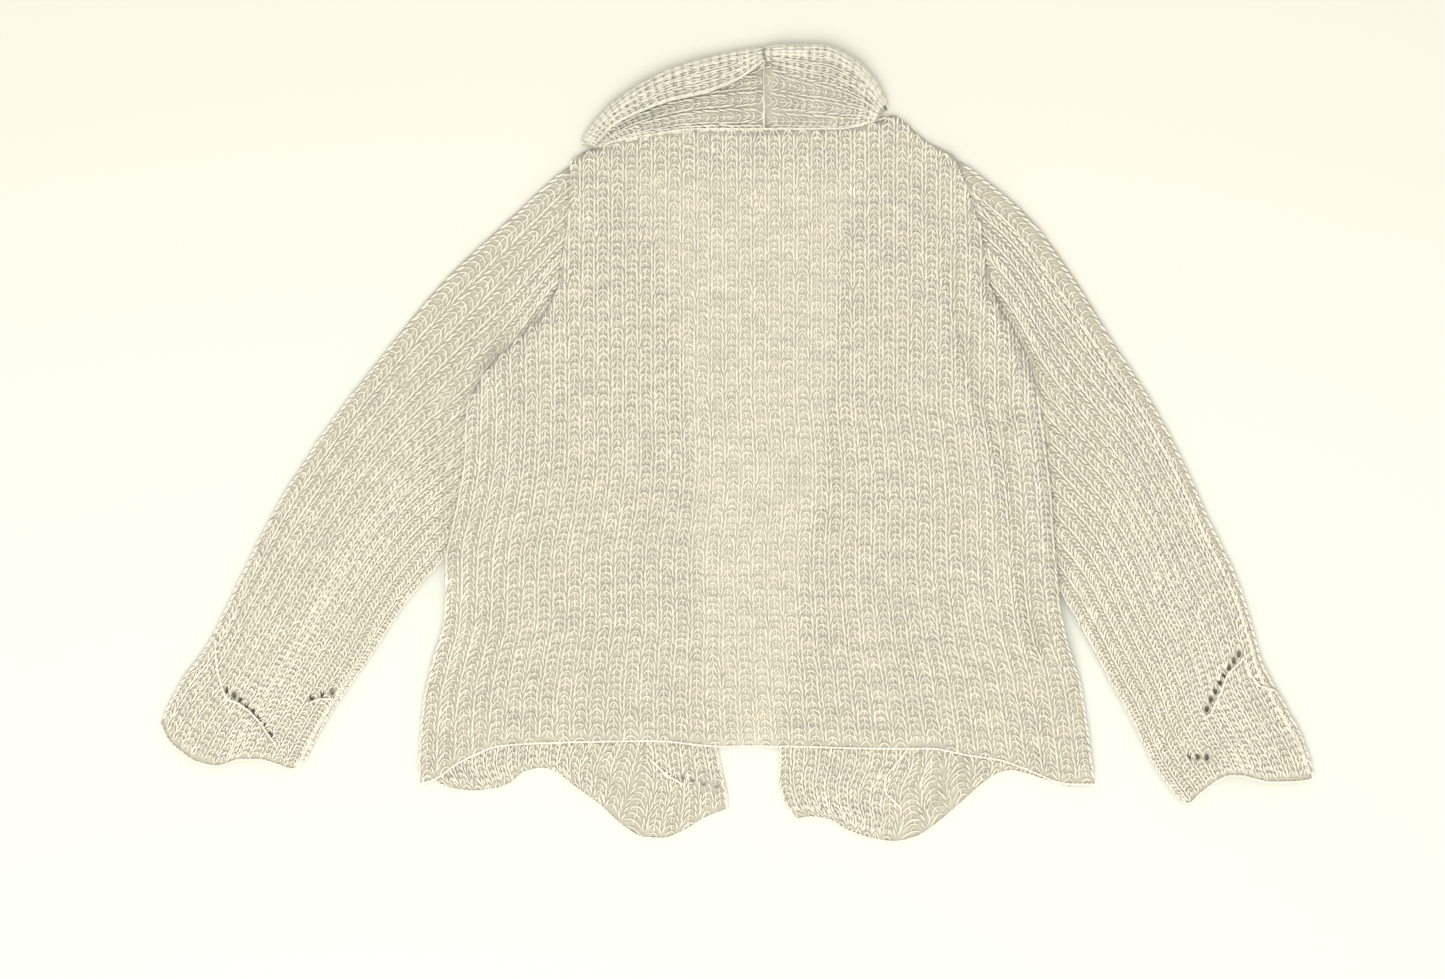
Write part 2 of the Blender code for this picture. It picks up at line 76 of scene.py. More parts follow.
# How wide and long each piece's knitting is taken, for its courses and its streaks
BACK_WIDTH = 572.0
FRONT_WIDTH = 266.0
FRONT_KNITTED = 125.0
SLEEVE_WIDTH = 165.0
SLEEVE_LENGTH = 560.0
COLLAR_WIDTH = 90.0
COLLAR_LEFT_LENGTH = 165.0
COLLAR_RIGHT_LENGTH = 114.0

# Edges of the back panel: x along y for the sides, y along x for the hem and the top
BACK_SIDE_LEFT = {
    "y": (-316, -294, -239, -201, -164, -104, -58, -17, 38),
    "x": (-292, -294, -291, -282, -272, -269, -259, -252, -249),
}
BACK_SIDE_RIGHT = {
    "y": (-316, -276, -220, -183, -141, -53, 3, 40),
    "x": (333, 328, 319, 306, 298, 292, 285, 279),
}
BACK_HEM = {
    "x": (-294, -279, -262, -243, -221, -183, -76, -15, 40, 135, 179, 213, 245, 266, 310, 333),
    "y": (-316, -311, -299, -289, -281, -278, -276, -281, -281, -283, -283, -289, -294, -301, -316, -316),
}
BACK_TOP = {
    "x": (-249, -239, -220, -201, -183, -168, -160, -156, -154, -138, -90, -34, 27, 92, 138, 143, 177,
          204, 213, 222, 236, 256, 273, 279),
    "y": (38, 57, 82, 98, 115, 140, 180, 207, 260, 273, 285, 292, 292, 292, 303, 306, 282,
          265, 239, 217, 143, 106, 72, 40),
}

# The back's height over what lies under it, and how it bends down at its edges
OVER_V = 1.4
V_EDGE = {"start": 7.0, "width": 16.0}
V_TOP = {"start": 225.0, "width": 60.0}
SLEEVE_EDGE = {"start": 4.0, "width": 34.0}
COLLAR_EDGE = {"start": 225.0, "width": 35.0}
NOTCH_FADE = 30.0
NOTCH_LEFT = -106
NOTCH_RIGHT = -150

# The level from which the ribs run straight up, their feet on the hem, and the height they lean in
UNDERARM = 38
BACK_RIB_FEET = {"u": (0, 1), "foot": (-294, 333)}
LEAN = 80.0

# How deep the back's face bends down at its top edge, and from how far below the edge
BACK_SINK = {
    "x": (-249, -158, -152, -140, -126, -118, 126, 136, 143, 200, 208, 213, 279),
    "depth": (1.8, 1.8, 3.5, 5.0, 3.0, 1.5, 1.5, 4.0, 5.2, 5.2, 2.5, 1.8, 1.8),
}
SINK_REACH = 9.0

# Ranges across the back where its ribs change fast in length, each with its count of closer steps
BACK_STEEP = ((0.14, 0.172, 10), (0.174, 0.182, 16), (0.892, 0.956, 14))

# Shares of the back's top that have a seam
ARMHOLE_SEAM = (0.163, 0.183)
NECK_SEAM = (0.22, 0.735)

# Fronts: their side, open edge, hem and top, and the foot of the rib at each share of the width
FRONT_LEFT = {
    "side": {"y": (-318, -294, -239, -201, -164, -118), "x": (-277, -288, -284, -275, -265, -254)},
    "edge": {"y": (-340, -332, -311, -280, -146, -118), "x": (-9, -9, -13, -19, -36, -37)},
    "hem": {"x": (-277, -262, -243, -225, -211, -196, -181, -169, -154, -127, -106, -86, -69, -51, -29,
                  -9),
            "y": (-316, -321, -323, -321, -316, -305, -302, -305, -316, -336, -355, -366, -367, -361, -348,
                  -340)},
    "top": {"x": (-254, -219, -188, -182, -165, -151, -144, -140, -138, -125, -108, -92, -68, -56, -47, -42,
                  -37),
            "y": (-118, -75, -25, 30, 87, 140, 180, 206, 250, 256, 256, 222, 152, 115, 40, -30,
                  -118)},
    "ribs": {"u": (0, 0.234, 0.401, 0.543, 0.729, 0.777, 0.848, 0.955, 1),
             "foot": (-277, -222, -190, -158, -112, -88, -62, -21, -9)},
    "level": -118,
}
FRONT_RIGHT = {
    "side": {"y": (-349, -335, -311, -283, -146), "x": (56, 45, 39, 40, 59)},
    "edge": {"y": (-319, -294, -257, -220, -183, -146), "x": (310, 323, 320, 312, 300, 290)},
    "hem": {"x": (56, 71, 87, 102, 126, 146, 168, 190, 212, 229, 245, 255, 266, 289, 310),
            "y": (-349, -347, -350, -359, -367, -370, -365, -350, -331, -316, -306, -304, -306, -313, -319)},
    "top": {"x": (59, 76, 86, 96, 106, 116, 133, 168, 186, 195, 208, 217, 223, 228, 256, 290),
            "y": (-146, -53, 40, 133, 226, 268, 276, 262, 248, 213, 141, 92, 30, -40, -92, -146)},
    "ribs": {"u": (0, 0.064, 0.164, 0.32, 0.42, 0.48, 0.569, 0.712, 0.89, 1),
             "foot": (56, 71, 92, 120, 142, 178, 220, 260, 291, 310)},
    "level": -146,
}

# Sleeves: four edges each, from the shoulder down or from the outer fold inwards
SLEEVE_LEFT = {
    "fan": 22,
    "outer": ((-157, 257), (-172, 245), (-201, 218), (-225, 196), (-272, 151), (-332, 78), (-375, 22),
              (-424, -53), (-462, -127), (-479, -164), (-495, -193), (-515, -220), (-535, -259)),
    "inner": ((-196, -28), (-235, -62), (-274, -110), (-305, -146), (-342, -201), (-381, -257),
              (-401, -294)),
    "cap": ((-157, 257), (-150, 242), (-148, 209), (-152, 180), (-160, 140), (-176, 87), (-191, 30),
            (-196, -28)),
    "cuff": ((-535, -259), (-527, -275), (-515, -286), (-501, -295), (-482, -299), (-459, -293),
             (-444, -293), (-428, -297), (-412, -302), (-401, -294)),
}
SLEEVE_RIGHT = {
    "fan": -20,
    "outer": ((207, 263), (231, 246), (273, 209), (315, 152), (349, 96), (385, 40), (414, -15),
              (439, -71), (465, -127), (477, -164), (487, -201), (507, -239), (526, -276), (535, -304)),
    "inner": ((236, -44), (266, -84), (304, -145), (326, -183), (346, -220), (367, -257), (385, -294),
              (397, -313), (413, -332)),
    "cap": ((207, 263), (199, 250), (206, 236), (213, 213), (226, 141), (233, 96), (238, 40), (236, -44)),
    "cuff": ((535, -304), (534, -311), (509, -314), (494, -314), (480, -311), (466, -308), (458, -308),
             (449, -311), (440, -317), (430, -325), (419, -334), (413, -332)),
}

# The hidden half of a sleeve is narrower. The seen half fans its ribs near the shoulder, is
# pressed flat under the body and fills out down the arm.
FRONT_HALF_INSET = 0.045
FAN_END = 0.42
PRESSED_ACROSS = {"start": 0.3, "width": 0.4}
PRESSED_DOWN = {"start": 0.42, "width": 0.2}
FILLS = {"start": 0.0, "width": 0.25}

# Collar halves: seam, fold and free edge at each station along the neck, and their heights
COLLAR_LEFT = {
    "seam_x": (-123, -115, -102, -83, -57, -29, -1, 25.4),
    "seam_y": (274, 278, 282, 286, 290, 292, 292, 292),
    "far_x": (-145, -137, -119, -95, -64, -30, 2, 25.4),
    "far_y": (278, 291, 311, 329, 345, 356, 363, 367),
    "free_x": (-135, -124, -109, -87, -61, -29, 1, 25.4),
    "free_y": (273, 287, 298, 308, 319, 326, 338, 356),
    "fold_z": (5.0, 9.0, 11.5, 12.0, 11.0, 10.0, 9.0, 8.0),
    "free_z": (8.0, 13.0, 16.0, 15.0, 12.0, 11.0, 10.5, 10.5),
}
COLLAR_RIGHT = {
    "seam_x": (26.0, 50, 73, 95, 114, 130),
    "seam_y": (292, 292, 292, 292, 295, 299),
    "far_x": (26.0, 52, 78, 104, 124, 141),
    "far_y": (368, 369, 369, 359, 341, 312),
    "valley": (0.80, 0.70, 0.62, 0.60, 0.56, 0.50),
    "roll_z": (11.0, 13.0, 14.0, 14.0, 12.0, 8.0),
}

# The collar's sections: its tuck under the back, its stand, its seam and its fold or roll
TUCK = 5.0
STAND_SHARE = 0.5
STAND_SEAM = (0.06, STAND_SHARE)
STAND_RISE = 1.3
SEAM_FLAT = 6.0
SEAM = 1.0
STAND_Z = TOUCH + WALL / 2
FOLD_DEEP = 4.0
SWELL = 0.6
ROLL = {"stand": 2.4, "valley": 1.6, "foot": 0.2, "wide": 5.0, "top": 0.72, "shoulder": 0.66, "side": 0.4}

# Folds of the back that its solid has too: soft ridges from end to end, with half width and height
BACK_FOLDS = {
    "from": ((-140, 148), (-222, 66), (-243, 20), (212, 170), (262, 60), (180, 150), (196, 60), (222, -60),
             (-205, 0), (-36, -150), (60, -150)),
    "to": ((-222, 70), (-243, 20), (-258, -70), (262, 60), (276, -90), (196, 60), (222, -60), (240, -150),
           (-222, -90), (-20, -270), (48, -270)),
    "half_width": (16, 15, 11, 13, 13, 16, 16, 16, 14, 7, 7),
    "height": (5.0, 6.0, 4.0, 4.5, 5.0, 1.8, 2.0, 1.2, 1.5, 1.2, 0.8),
}

# Creases that only the cloth has. Each row has a line, how far the swelling beside it reaches
# (0 for a single ridge along the line, more for a trough), the half width and the height.
UPPER_CREASES = (
    (((-127, 152), (-173, 124), (-220, 87), (-248, 50), (-266, 22), (-262, -43), (-266, -92)), 34, 11, 7.6),
    (((-262, 36), (-266, 16), (-264, -8)), 26, 15, 7.6),
    (((-127, 106), (-201, 40), (-229, -34), (-239, -80)), 30, 8, 3.0),
    (((199, 171), (208, 106), (222, 50), (245, -6), (259, -71), (264, -118), (278, -183)), 30, 11, 10.5),
    (((226, 160), (240, 130), (264, 87), (287, 40), (287, -34), (296, -104)), 34, 11, 10.5),
    (((240, 3), (254, 31)), 14, 5, 5.0),
    (((-62, 226), (-15, 40), (-20, -257)), 14, 6, 0.8),
    (((87, 226), (59, 3), (50, -239)), 14, 6, 0.8),
    (((-40, -130), (-15, -266)), 12, 4, 2.2),
    (((108, 246), (112, 243)), 16, 7, 2.0),
    (((-268, -140), (-276, -200), (-283, -262)), 0, 8, 1.4),
    (((291, -166), (303, -220), (314, -280)), 0, 8, 1.4),
    (((-330, 30), (-352, -30), (-350, -90)), 0, 16, 1.6),
    (((-414, -110), (-372, -150), (-352, -160)), 0, 9, 1.4),
    (((-300, 110), (-330, 60)), 0, 12, 1.2),
    (((330, 70), (356, 10), (372, -50)), 0, 15, 1.6),
    (((352, -110), (410, -98), (440, -104)), 0, 9, 1.4),
    (((300, 150), (330, 96)), 0, 12, 1.2),
)
CREASES = {
    "back": UPPER_CREASES,
    "sleeve_left_back": UPPER_CREASES,
    "sleeve_right_back": UPPER_CREASES,
    "collar_right": (
        (((8, 352), (40, 355), (84, 350), (108, 338), (124, 318)), 20, 7, 5.5),
    ),
    "front_left": (
        (((-49, -310), (-19, -316)), 10, 5, 2.6),
        (((-150, -322), (-120, -290)), 0, 8, 1.6),
        (((-108, -350), (-96, -300)), 0, 9, 1.2),
        (((-266, -316), (-238, -300)), 0, 7, 1.6),
    ),
    "front_right": (
        (((78, -340), (84, -290)), 0, 8, 1.2),
        (((214, -322), (196, -290)), 0, 8, 1.4),
    ),
}

# How much, how often and how slantwise a crease swells, and the height that makes a full trough
CREASE_SWELL = 0.12
CREASE_WAVE = 34.0
CREASE_SLANT = 1.4
FULL_TROUGH = 5.0

# Raised double strands along the leaves of the cuffs and of the fronts
RIDGES = {
    "sleeve_left_back": (
        ((-484, -177), (-482, -205), (-478, -223), (-473, -237), (-463, -240), (-451, -248), (-441, -259),
         (-434, -270), (-426, -280)),
        ((-395, -240), (-386, -237), (-374, -237)),
    ),
    "sleeve_right_back": (
        ((470, -199), (455, -214), (448, -232), (439, -251), (431, -256)),
        ((472, -201), (475, -214), (485, -225), (499, -229)),
    ),
    "front_left": (((-79, -294), (-65, -308), (-48, -317)),),
    "front_right": (((160, -283), (138, -310), (138, -324), (154, -340)),),
}
RIDGE_HEIGHT = 0.9

# Rows of eyelets: the start, bend and end of each curved row and its count of holes
EYELETS = {
    "sleeve_left_back": (((-472, -229), (-450, -243), (-432, -270), 8),
                         ((-394, -236), (-384, -232), (-375, -230), 3)),
    "sleeve_right_back": (((466, -195), (449, -216), (436, -246), 8),
                          ((420, -290), (427, -290), (436, -291), 3)),
    "front_left": (((-49, -309), (-38, -313), (-19, -317), 4),),
}
EYELET_WIDE = 4.2
EYELET_LONG = 6.6
EYELET_CLEAR = 1.2
CUTTER_SIDES = 12
CUTTER_ENDS = (-10.0, 30.0)

# The ground under the stitches
GROUND_STEP = 8.5
GROUND_RIDGE = 0.2
GROUND_UNDER = 0.05
GROUND_THIN = 0.4

# A strand's thickness along it as shares of the yarn's, and how uneven the strands are
LEG = {"thick": (0.7, 1.0, 1.05, 0.75), "thick_spread": 0.1, "curve": 0.8, "lean_spread": 0.12,
       "aside_spread": 0.016, "start": -0.15, "climb": 1.3, "along_spread": 0.08,
       "bow_start": 0.1, "bow_share": 0.75, "bow_level": 0.62, "height_spread": 0.15}
ARC = {"thick": (0.7, 0.95, 1.0, 0.95, 0.7), "thick_spread": 0.1, "wide_spread": 0.07,
       "aside_spread": 0.025, "bow_spread": 0.18, "along_spread": 0.08, "height_spread": 0.12}
STEM = {"thick": (0.7, 0.9, 0.6), "thick_spread": 0.12, "aside_spread": 0.035, "slant_spread": 0.05,
        "long_spread": 0.15, "under": 0.1, "fall": 0.3, "height_spread": 0.12}

# Loose fibres: the share and the band of those at the edges, their roots, way, lengths and tips
HALO = {"edges": 0.3, "band": 0.06, "root": 0.6, "flat": (1.0, 1.0, 0.3), "up": 0.4,
        "lengths": (0.4, 1.3), "lowest": 0.15, "tip": 0.35}
FRONT_HALO = 6
SLEEVE_HALO = 3
COLLAR_HALO = 8

# Finishes: two colours each, the strength of the fuzz, and how far painted light, for the light that comes
# through the lone layer, brightens it. The ground's colours hold painted shade of the holes between the
# stitches, and the collar's yarn holds painted shade of its folds.
FINISHES = {
    "yarn": ("light", "grey", 0.5, 0.05),
    # painted shade: the ground is the same yarn, darkened for the shade in the holes between the stitches
    "ground": ("ground", "painted_shade_ground_dark", 0.7, 0.16),
    "fibres": ("highlight", "light", 0.0, 0.0),
    # painted shade: the collar's yarn, darkened for the shade of its folds
    "dull_yarn": ("collar_painted_shade", "collar_painted_shade_grey", 0.5, 0.0),
}
STREAK_LENGTH = 34.0
STREAK_COURSES = 0.8
FLECK_SCALE = 300.0
FIBRE_SCALE = 2600.0
FUZZ_DEPTH = 0.0006
MARL = (0.40, 0.60)
YARN_ROUGHNESS = 0.95
SHEEN_ROUGHNESS = 0.6
# Painted light in the V, where the back lies alone: how far outside the fronts' edges it starts, how wide it
# grows, and the height and width of its fade below the neck
PAINTED_LIGHT_EDGE = 4.0
PAINTED_LIGHT_FADE = 12.0
PAINTED_LIGHT_TOP = 262.0
PAINTED_LIGHT_TOP_FADE = 30.0

# Stage, in metres
FLOOR_SIZE = 12.0
FLOOR_UNDER = 0.0004
# Range along Y over which the floor takes its painted shade, darker and warmer away from the key light
FLOOR_PAINTED_SHADE_RANGE = (-0.1, 0.5)
SKY_COLOUR = (1.0, 0.985, 0.94, 1.0)
LAMP_COLOUR = (1.0, 0.99, 0.965)
LAMPS = (("key", 2.6, (-0.5, -2.1, 2.9)), ("fill", 2.4, (0.6, 1.3, 2.2)))
SENSOR = 36.0


# Curves and places

def along(table, key, value, at):
    """A smooth curve through a table's columns, which never swings past its own points."""
    x = np.array(table[key], dtype=float)
    y = np.array(table[value], dtype=float)
    step = np.diff(x)
    slope = np.diff(y) / step
    tangent = np.zeros(len(x))
    same = slope[:-1] * slope[1:] > 0.0
    mean = 2.0 * slope[:-1] * slope[1:] / np.where(same, slope[:-1] + slope[1:], 1.0)
    tangent[1:-1] = np.where(same, mean, 0.0)
    tangent[0] = slope[0]
    tangent[-1] = slope[-1]
    at = np.clip(np.asarray(at, dtype=float), x[0], x[-1])
    cell = np.clip(np.searchsorted(x, at) - 1, 0, len(step) - 1)
    t = (at - x[cell]) / step[cell]
    h = step[cell]
    return ((1 + 2 * t) * (1 - t) ** 2 * y[cell] + t * (1 - t) ** 2 * h * tangent[cell]
            + t * t * (3 - 2 * t) * y[cell + 1] + t * t * (t - 1) * h * tangent[cell + 1])


def edge_curve(points, at):
    """Points at shares of the length of a smooth edge."""
    points = np.array(points, dtype=float)
    length = np.concatenate(([0.0], np.cumsum(np.hypot(*np.diff(points, axis=0).T))))
    table = {"s": length / length[-1], "x": points[:, 0], "y": points[:, 1]}
    return along(table, "s", "x", at), along(table, "s", "y", at)


def ease(t):
    """Zero to one with soft ends."""
    t = np.clip(t, 0.0, 1.0)
    return t * t * (3.0 - 2.0 * t)


def past(step, at):
    """Zero up to the start of a step, and one past its width."""
    return ease((at - step["start"]) / step["width"])


def distance_to_line(x, y, points):
    """Distance to a line of points, and the side: above zero on its right going along it."""
    best = np.full(np.shape(x), 1e9)
    side = np.zeros(np.shape(x))
    for (ax, ay), (bx, by) in zip(points[:-1], points[1:]):
        dx, dy = bx - ax, by - ay
        t = np.clip(((x - ax) * dx + (y - ay) * dy) / (dx * dx + dy * dy), 0.0, 1.0)
        away = np.hypot(x - ax - t * dx, y - ay - t * dy)
        nearer = away < best
        best = np.where(nearer, away, best)
        side = np.where(nearer, np.sign((x - ax) * dy - (y - ay) * dx), side)
    return best, side


def folds(table, x, y):
    """Height of all the ridges of a table at a place."""
    rise = np.zeros(np.shape(x))
    for start, end, half_width, height in zip(*table.values()):
        away, _ = distance_to_line(x, y, (start, end))
        rise = rise + height * np.exp(-(away / half_width) ** 2)
    return rise


def creases(name, x, y):
    """Height of the creases of one cloth, which swell and fade a little along their way."""
    ridge = np.zeros(np.shape(x))
    swelling = np.zeros(np.shape(x))
    left = np.ones(np.shape(x))
    uneven = 1.0 + CREASE_SWELL * np.sin((x + CREASE_SLANT * y) / CREASE_WAVE)
    for line, reach, half_width, height in CREASES.get(name, ()):
        away, _ = distance_to_line(x, y, line)
        narrow = np.exp(-(away / half_width) ** 2)
        if reach:
            swelling = np.maximum(swelling, height * np.exp(-(away / reach) ** 2))
            left = left * (1.0 - narrow * min(1.0, height / FULL_TROUGH))
        else:
            ridge = ridge + height * narrow
    return (swelling * left + ridge) * uneven


def hanging(side, edge, hem, top, level, ribs):
    """Place of a panel whose ribs run up from their feet on the hem, straight up above one level."""
    def place(u, v):
        def across(y):
            return (1 - u) * along(side, "y", "x", y) + u * along(edge, "y", "x", y)

        foot_x = along(ribs, "u", "foot", u)
        foot_y = along(hem, "x", "y", foot_x)
        lean = foot_x - across(foot_y)
        straight_x = across(np.full(np.shape(u), float(level)))
        y = (1 - v) * foot_y + v * along(top, "x", "y", straight_x)
        x = across(y) + lean * (1.0 - ease((y - foot_y) / LEAN))
        return np.where(y < level, x, straight_x), y
    return place


def tube_face(edges, inset=0.0):
    """Place of one face of a flattened tube between its four edges, u across and v down it."""
    def place(u, v):
        u = inset + (1 - 2 * inset) * u
        out_x, out_y = edge_curve(edges["outer"], v)
        in_x, in_y = edge_curve(edges["inner"], v)
        cap_x, cap_y = edge_curve(edges["cap"], u)
        cuff_x, cuff_y = edge_curve(edges["cuff"], u)
        corner = [edges["outer"][0], edges["inner"][0], edges["outer"][-1], edges["inner"][-1]]
        both = []
        for axis, (a, b, c, d) in enumerate(((out_x, in_x, cap_x, cuff_x), (out_y, in_y, cap_y, cuff_y))):
            flat = ((1 - u) * (1 - v) * corner[0][axis] + u * (1 - v) * corner[1][axis]
                    + (1 - u) * v * corner[2][axis] + u * v * corner[3][axis])
            both.append((1 - u) * a + u * b + (1 - v) * c + v * d - flat)
        fan = edges["fan"] * np.sin(np.pi * u) * np.sin(np.pi * np.clip(v / FAN_END, 0.0, 1.0)) ** 2
        return both[0] + fan, both[1]
    return place


# Faces of the cloth: a point on the seen face between the ribs, at shares u across and v along them

def turned_down(u, ribs):
    """How far an edge is turned down: fully at u 0 and 1, not at all from the first rib's foot."""
    return 1.0 - np.sin(np.clip(np.minimum(u, 1.0 - u) * ribs / RIB_FOOT, 0.0, 1.0) * np.pi / 2)


def along_v_edge(top, points, y):
    """The open V edge of a front, read as x along y from one end of its top table."""
    return along({"y": top["y"][points], "x": top["x"][points]}, "y", "x", y)


def inside_v(x, y):
    """How far a place lies inside the V between the open edges of the fronts."""
    left = along(FRONT_LEFT["edge"], "y", "x", y)
    left = np.where(y > FRONT_LEFT["level"], along_v_edge(FRONT_LEFT["top"], slice(-1, -8, -1), y), left)
    right = along(FRONT_RIGHT["side"], "y", "x", y)
    right = np.where(y > FRONT_RIGHT["level"], along_v_edge(FRONT_RIGHT["top"], slice(0, 6), y), right)
    return np.minimum(x - left, right - x)


def back_under(x, y, u):
    """Height of the back panel's underside over the fronts, the sleeves and the open V."""
    height = np.full(np.shape(x), OVER_FRONT)
    below_neck = 1.0 - past(V_TOP, y)
    height = height - (OVER_FRONT - OVER_V) * past(V_EDGE, inside_v(x, y)) * below_neck
    for cap, inner, sign in ((SLEEVE_LEFT["cap"], SLEEVE_LEFT["inner"], 1.0),
                             (SLEEVE_RIGHT["cap"], SLEEVE_RIGHT["inner"], -1.0)):
        away, side = distance_to_line(x, y, tuple(cap) + tuple(inner[1:4]))
        signed = away * side * sign
        height = height + (OVER_BOTH - OVER_FRONT) * (1.0 - past(SLEEVE_EDGE, -signed))
    height = height + folds(BACK_FOLDS, x, y)
    height = np.maximum(height, OVER_COLLAR * past(COLLAR_EDGE, y))
    free = ease((np.where(u < 0.5, NOTCH_LEFT, NOTCH_RIGHT) - y) / NOTCH_FADE)
    height = height - (height - TOUCH) * turned_down(u, BACK_RIBS) * free
    return np.maximum(height, TOUCH)


def sleeve_under(u, v):
    """Height of a sleeve's back half: arched, but flat under the body and turned down at its folds."""
    pressed = past(PRESSED_ACROSS, u) * (1.0 - past(PRESSED_DOWN, v))
    arch = OVER_SLEEVE + SLEEVE_FULLNESS * np.sin(np.pi * u) * past(FILLS, v) * (1.0 - pressed)
    return arch - (arch - TOUCH) * turned_down(u, SLEEVE_RIBS)


def back_sink(u, v):
    """How far the back's face bends down at its top edge, onto what it is joined to there."""
    x, y = BACK_PLACE(u, v)
    edge_x, edge_y = BACK_PLACE(u, np.ones(np.shape(v)))
    bend = 1.0 - np.sin(np.clip((edge_y - y) / SINK_REACH, 0.0, 1.0) * np.pi / 2)
    return along(BACK_SINK, "x", "depth", edge_x) * bend


def back_face(u, v):
    """Seen face of the back."""
    x, y = BACK_PLACE(u, v)
    lift = creases("back", x, y)
    return np.stack((x, y, back_under(x, y, u) + WALL - back_sink(u, v) + lift), axis=-1)


def front_face(place, name):
    """Seen face of a front or of a sleeve's hidden half, flat on the surface but for its creases."""
    def face(u, v):
        x, y = place(u, v)
        return np.stack((x, y, LOW + WALL + creases(name, x, y)), axis=-1)
    return face


def sleeve_face(place, name):
    """Seen face of a sleeve's back half."""
    def face(u, v):
        x, y = place(u, v)
        lift = creases(name, x, y) * ease(2.0 * np.sin(np.pi * u))
        return np.stack((x, y, sleeve_under(u, v) + WALL + lift), axis=-1)
    return face


def folded_section(row, reach):
    """Section of the half that is folded over: up to the fold and back to the free edge."""
    fall = np.hypot(row["far_x"] - row["free_x"], row["far_y"] - row["free_y"])
    fold_z = row["fold_z"]
    tip = reach - WALL / 2
    return ((-TUCK, STAND_Z), (SEAM, STAND_Z), (reach / 3, STAND_Z), (reach * 2 / 3, STAND_Z + SWELL / 2),
            (tip - FOLD_DEEP, STAND_Z + SWELL), (tip, (STAND_Z + fold_z) / 2),
            (tip - FOLD_DEEP, fold_z + SWELL), (tip - fall / 2, (fold_z + row["free_z"]) / 2 + SWELL),
            (tip - fall, row["free_z"]))


def rolled_section(row, reach):
    """Section of the half that stands: up to a valley, then a soft roll down to the surface."""
    tip = reach - WALL / 2
    valley = row["valley"] * reach
    return ((-TUCK, STAND_Z), (SEAM, STAND_Z), (valley / 2, STAND_Z + ROLL["stand"]),
            (valley, STAND_Z + ROLL["valley"]), ((valley + tip) / 2, row["roll_z"] * ROLL["top"]),
            (tip - ROLL["wide"], row["roll_z"] * ROLL["shoulder"]),
            (tip - SEAM, row["roll_z"] * ROLL["side"]), (tip, STAND_Z + ROLL["foot"]))


def collar_middle(table, section):
    """Middle of half a collar's cloth, u across its section and v along the neck."""
    s = np.linspace(0.0, 1.0, len(table["seam_x"]))

    def middle(u, v):
        row = {name: along({"s": s, "v": values}, "s", "v", v) for name, values in table.items()}
        reach = np.hypot(row["far_x"] - row["seam_x"], row["far_y"] - row["seam_y"])
        points = section(row, reach)
        flat_a = np.stack([np.broadcast_to(a, np.shape(u)) for a, _ in points])
        flat_z = np.stack([np.broadcast_to(z, np.shape(u)) for _, z in points])
        out, z = through(flat_a, u), through(flat_z, u)
        x = row["seam_x"] + out * (row["far_x"] - row["seam_x"]) / reach
        y = row["seam_y"] + out * (row["far_y"] - row["seam_y"]) / reach
        return np.stack((x, y, z), axis=-1)
    return middle


def mean_step(one, other):
    """The slope between two steps: their harmonic mean where they go the same way, or else none."""
    same = one * other > 0
    return np.where(same, 2 * one * other / np.where(same, one + other, 1.0), 0.0)


def through(values, share):
    """A smooth curve through evenly spaced values, which differ from place to place."""
    last = len(values) - 1
    at = np.clip(share, 0.0, 1.0) * last
    cell = np.clip(at.astype(int), 0, last - 1)
    t = at - cell

    def pick(index):
        return np.take_along_axis(values, np.clip(index, 0, last)[None], axis=0)[0]

    a, b, c, d = pick(cell - 1), pick(cell), pick(cell + 1), pick(cell + 2)
    before, here, after = b - a, c - b, d - c
    start = np.where(cell == 0, here, mean_step(before, here))
    end = np.where(cell == last - 1, here, mean_step(here, after))
    return ((1 + 2 * t) * (1 - t) ** 2 * b + t * (1 - t) ** 2 * start
            + t * t * (3 - 2 * t) * c + t * t * (t - 1) * end)


def collar_face(table, section, side, name, rise=0.0):
    """Seen face of half a collar, on one side of its middle and a little over it if asked."""
    middle = collar_middle(table, section)

    def face(u, v):
        place = middle(u, v) + normals(middle, u, v) * side * (WALL / 2 + rise)
        lift = creases(name, place[..., 0], place[..., 1]) * ease(SEAM_FLAT * u)
        return place + np.stack((np.zeros(np.shape(lift)), np.zeros(np.shape(lift)), lift), axis=-1)
    return face


def normals(face, u, v):
    """Unit normals of a face by small steps along it."""
    step = 1e-4
    ua, ub = np.clip(u - step, 0, 1), np.clip(u + step, 0, 1)
    va, vb = np.clip(v - step, 0, 1), np.clip(v + step, 0, 1)
    normal = np.cross(face(ub, v) - face(ua, v), face(u, vb) - face(u, va))
    return normal / np.maximum(np.linalg.norm(normal, axis=-1, keepdims=True), 1e-12)


BACK_PLACE = hanging(BACK_SIDE_LEFT, BACK_SIDE_RIGHT, BACK_HEM, BACK_TOP, UNDERARM, BACK_RIB_FEET)


def rib_length(place):
    """Length of the ribs at a share across a panel whose ribs run straight up from its hem."""
    def length(u):
        _, foot = place(u, np.zeros(np.shape(u)))
        _, top = place(u, np.ones(np.shape(u)))
        return top - foot
    return length


# Meshes from arrays

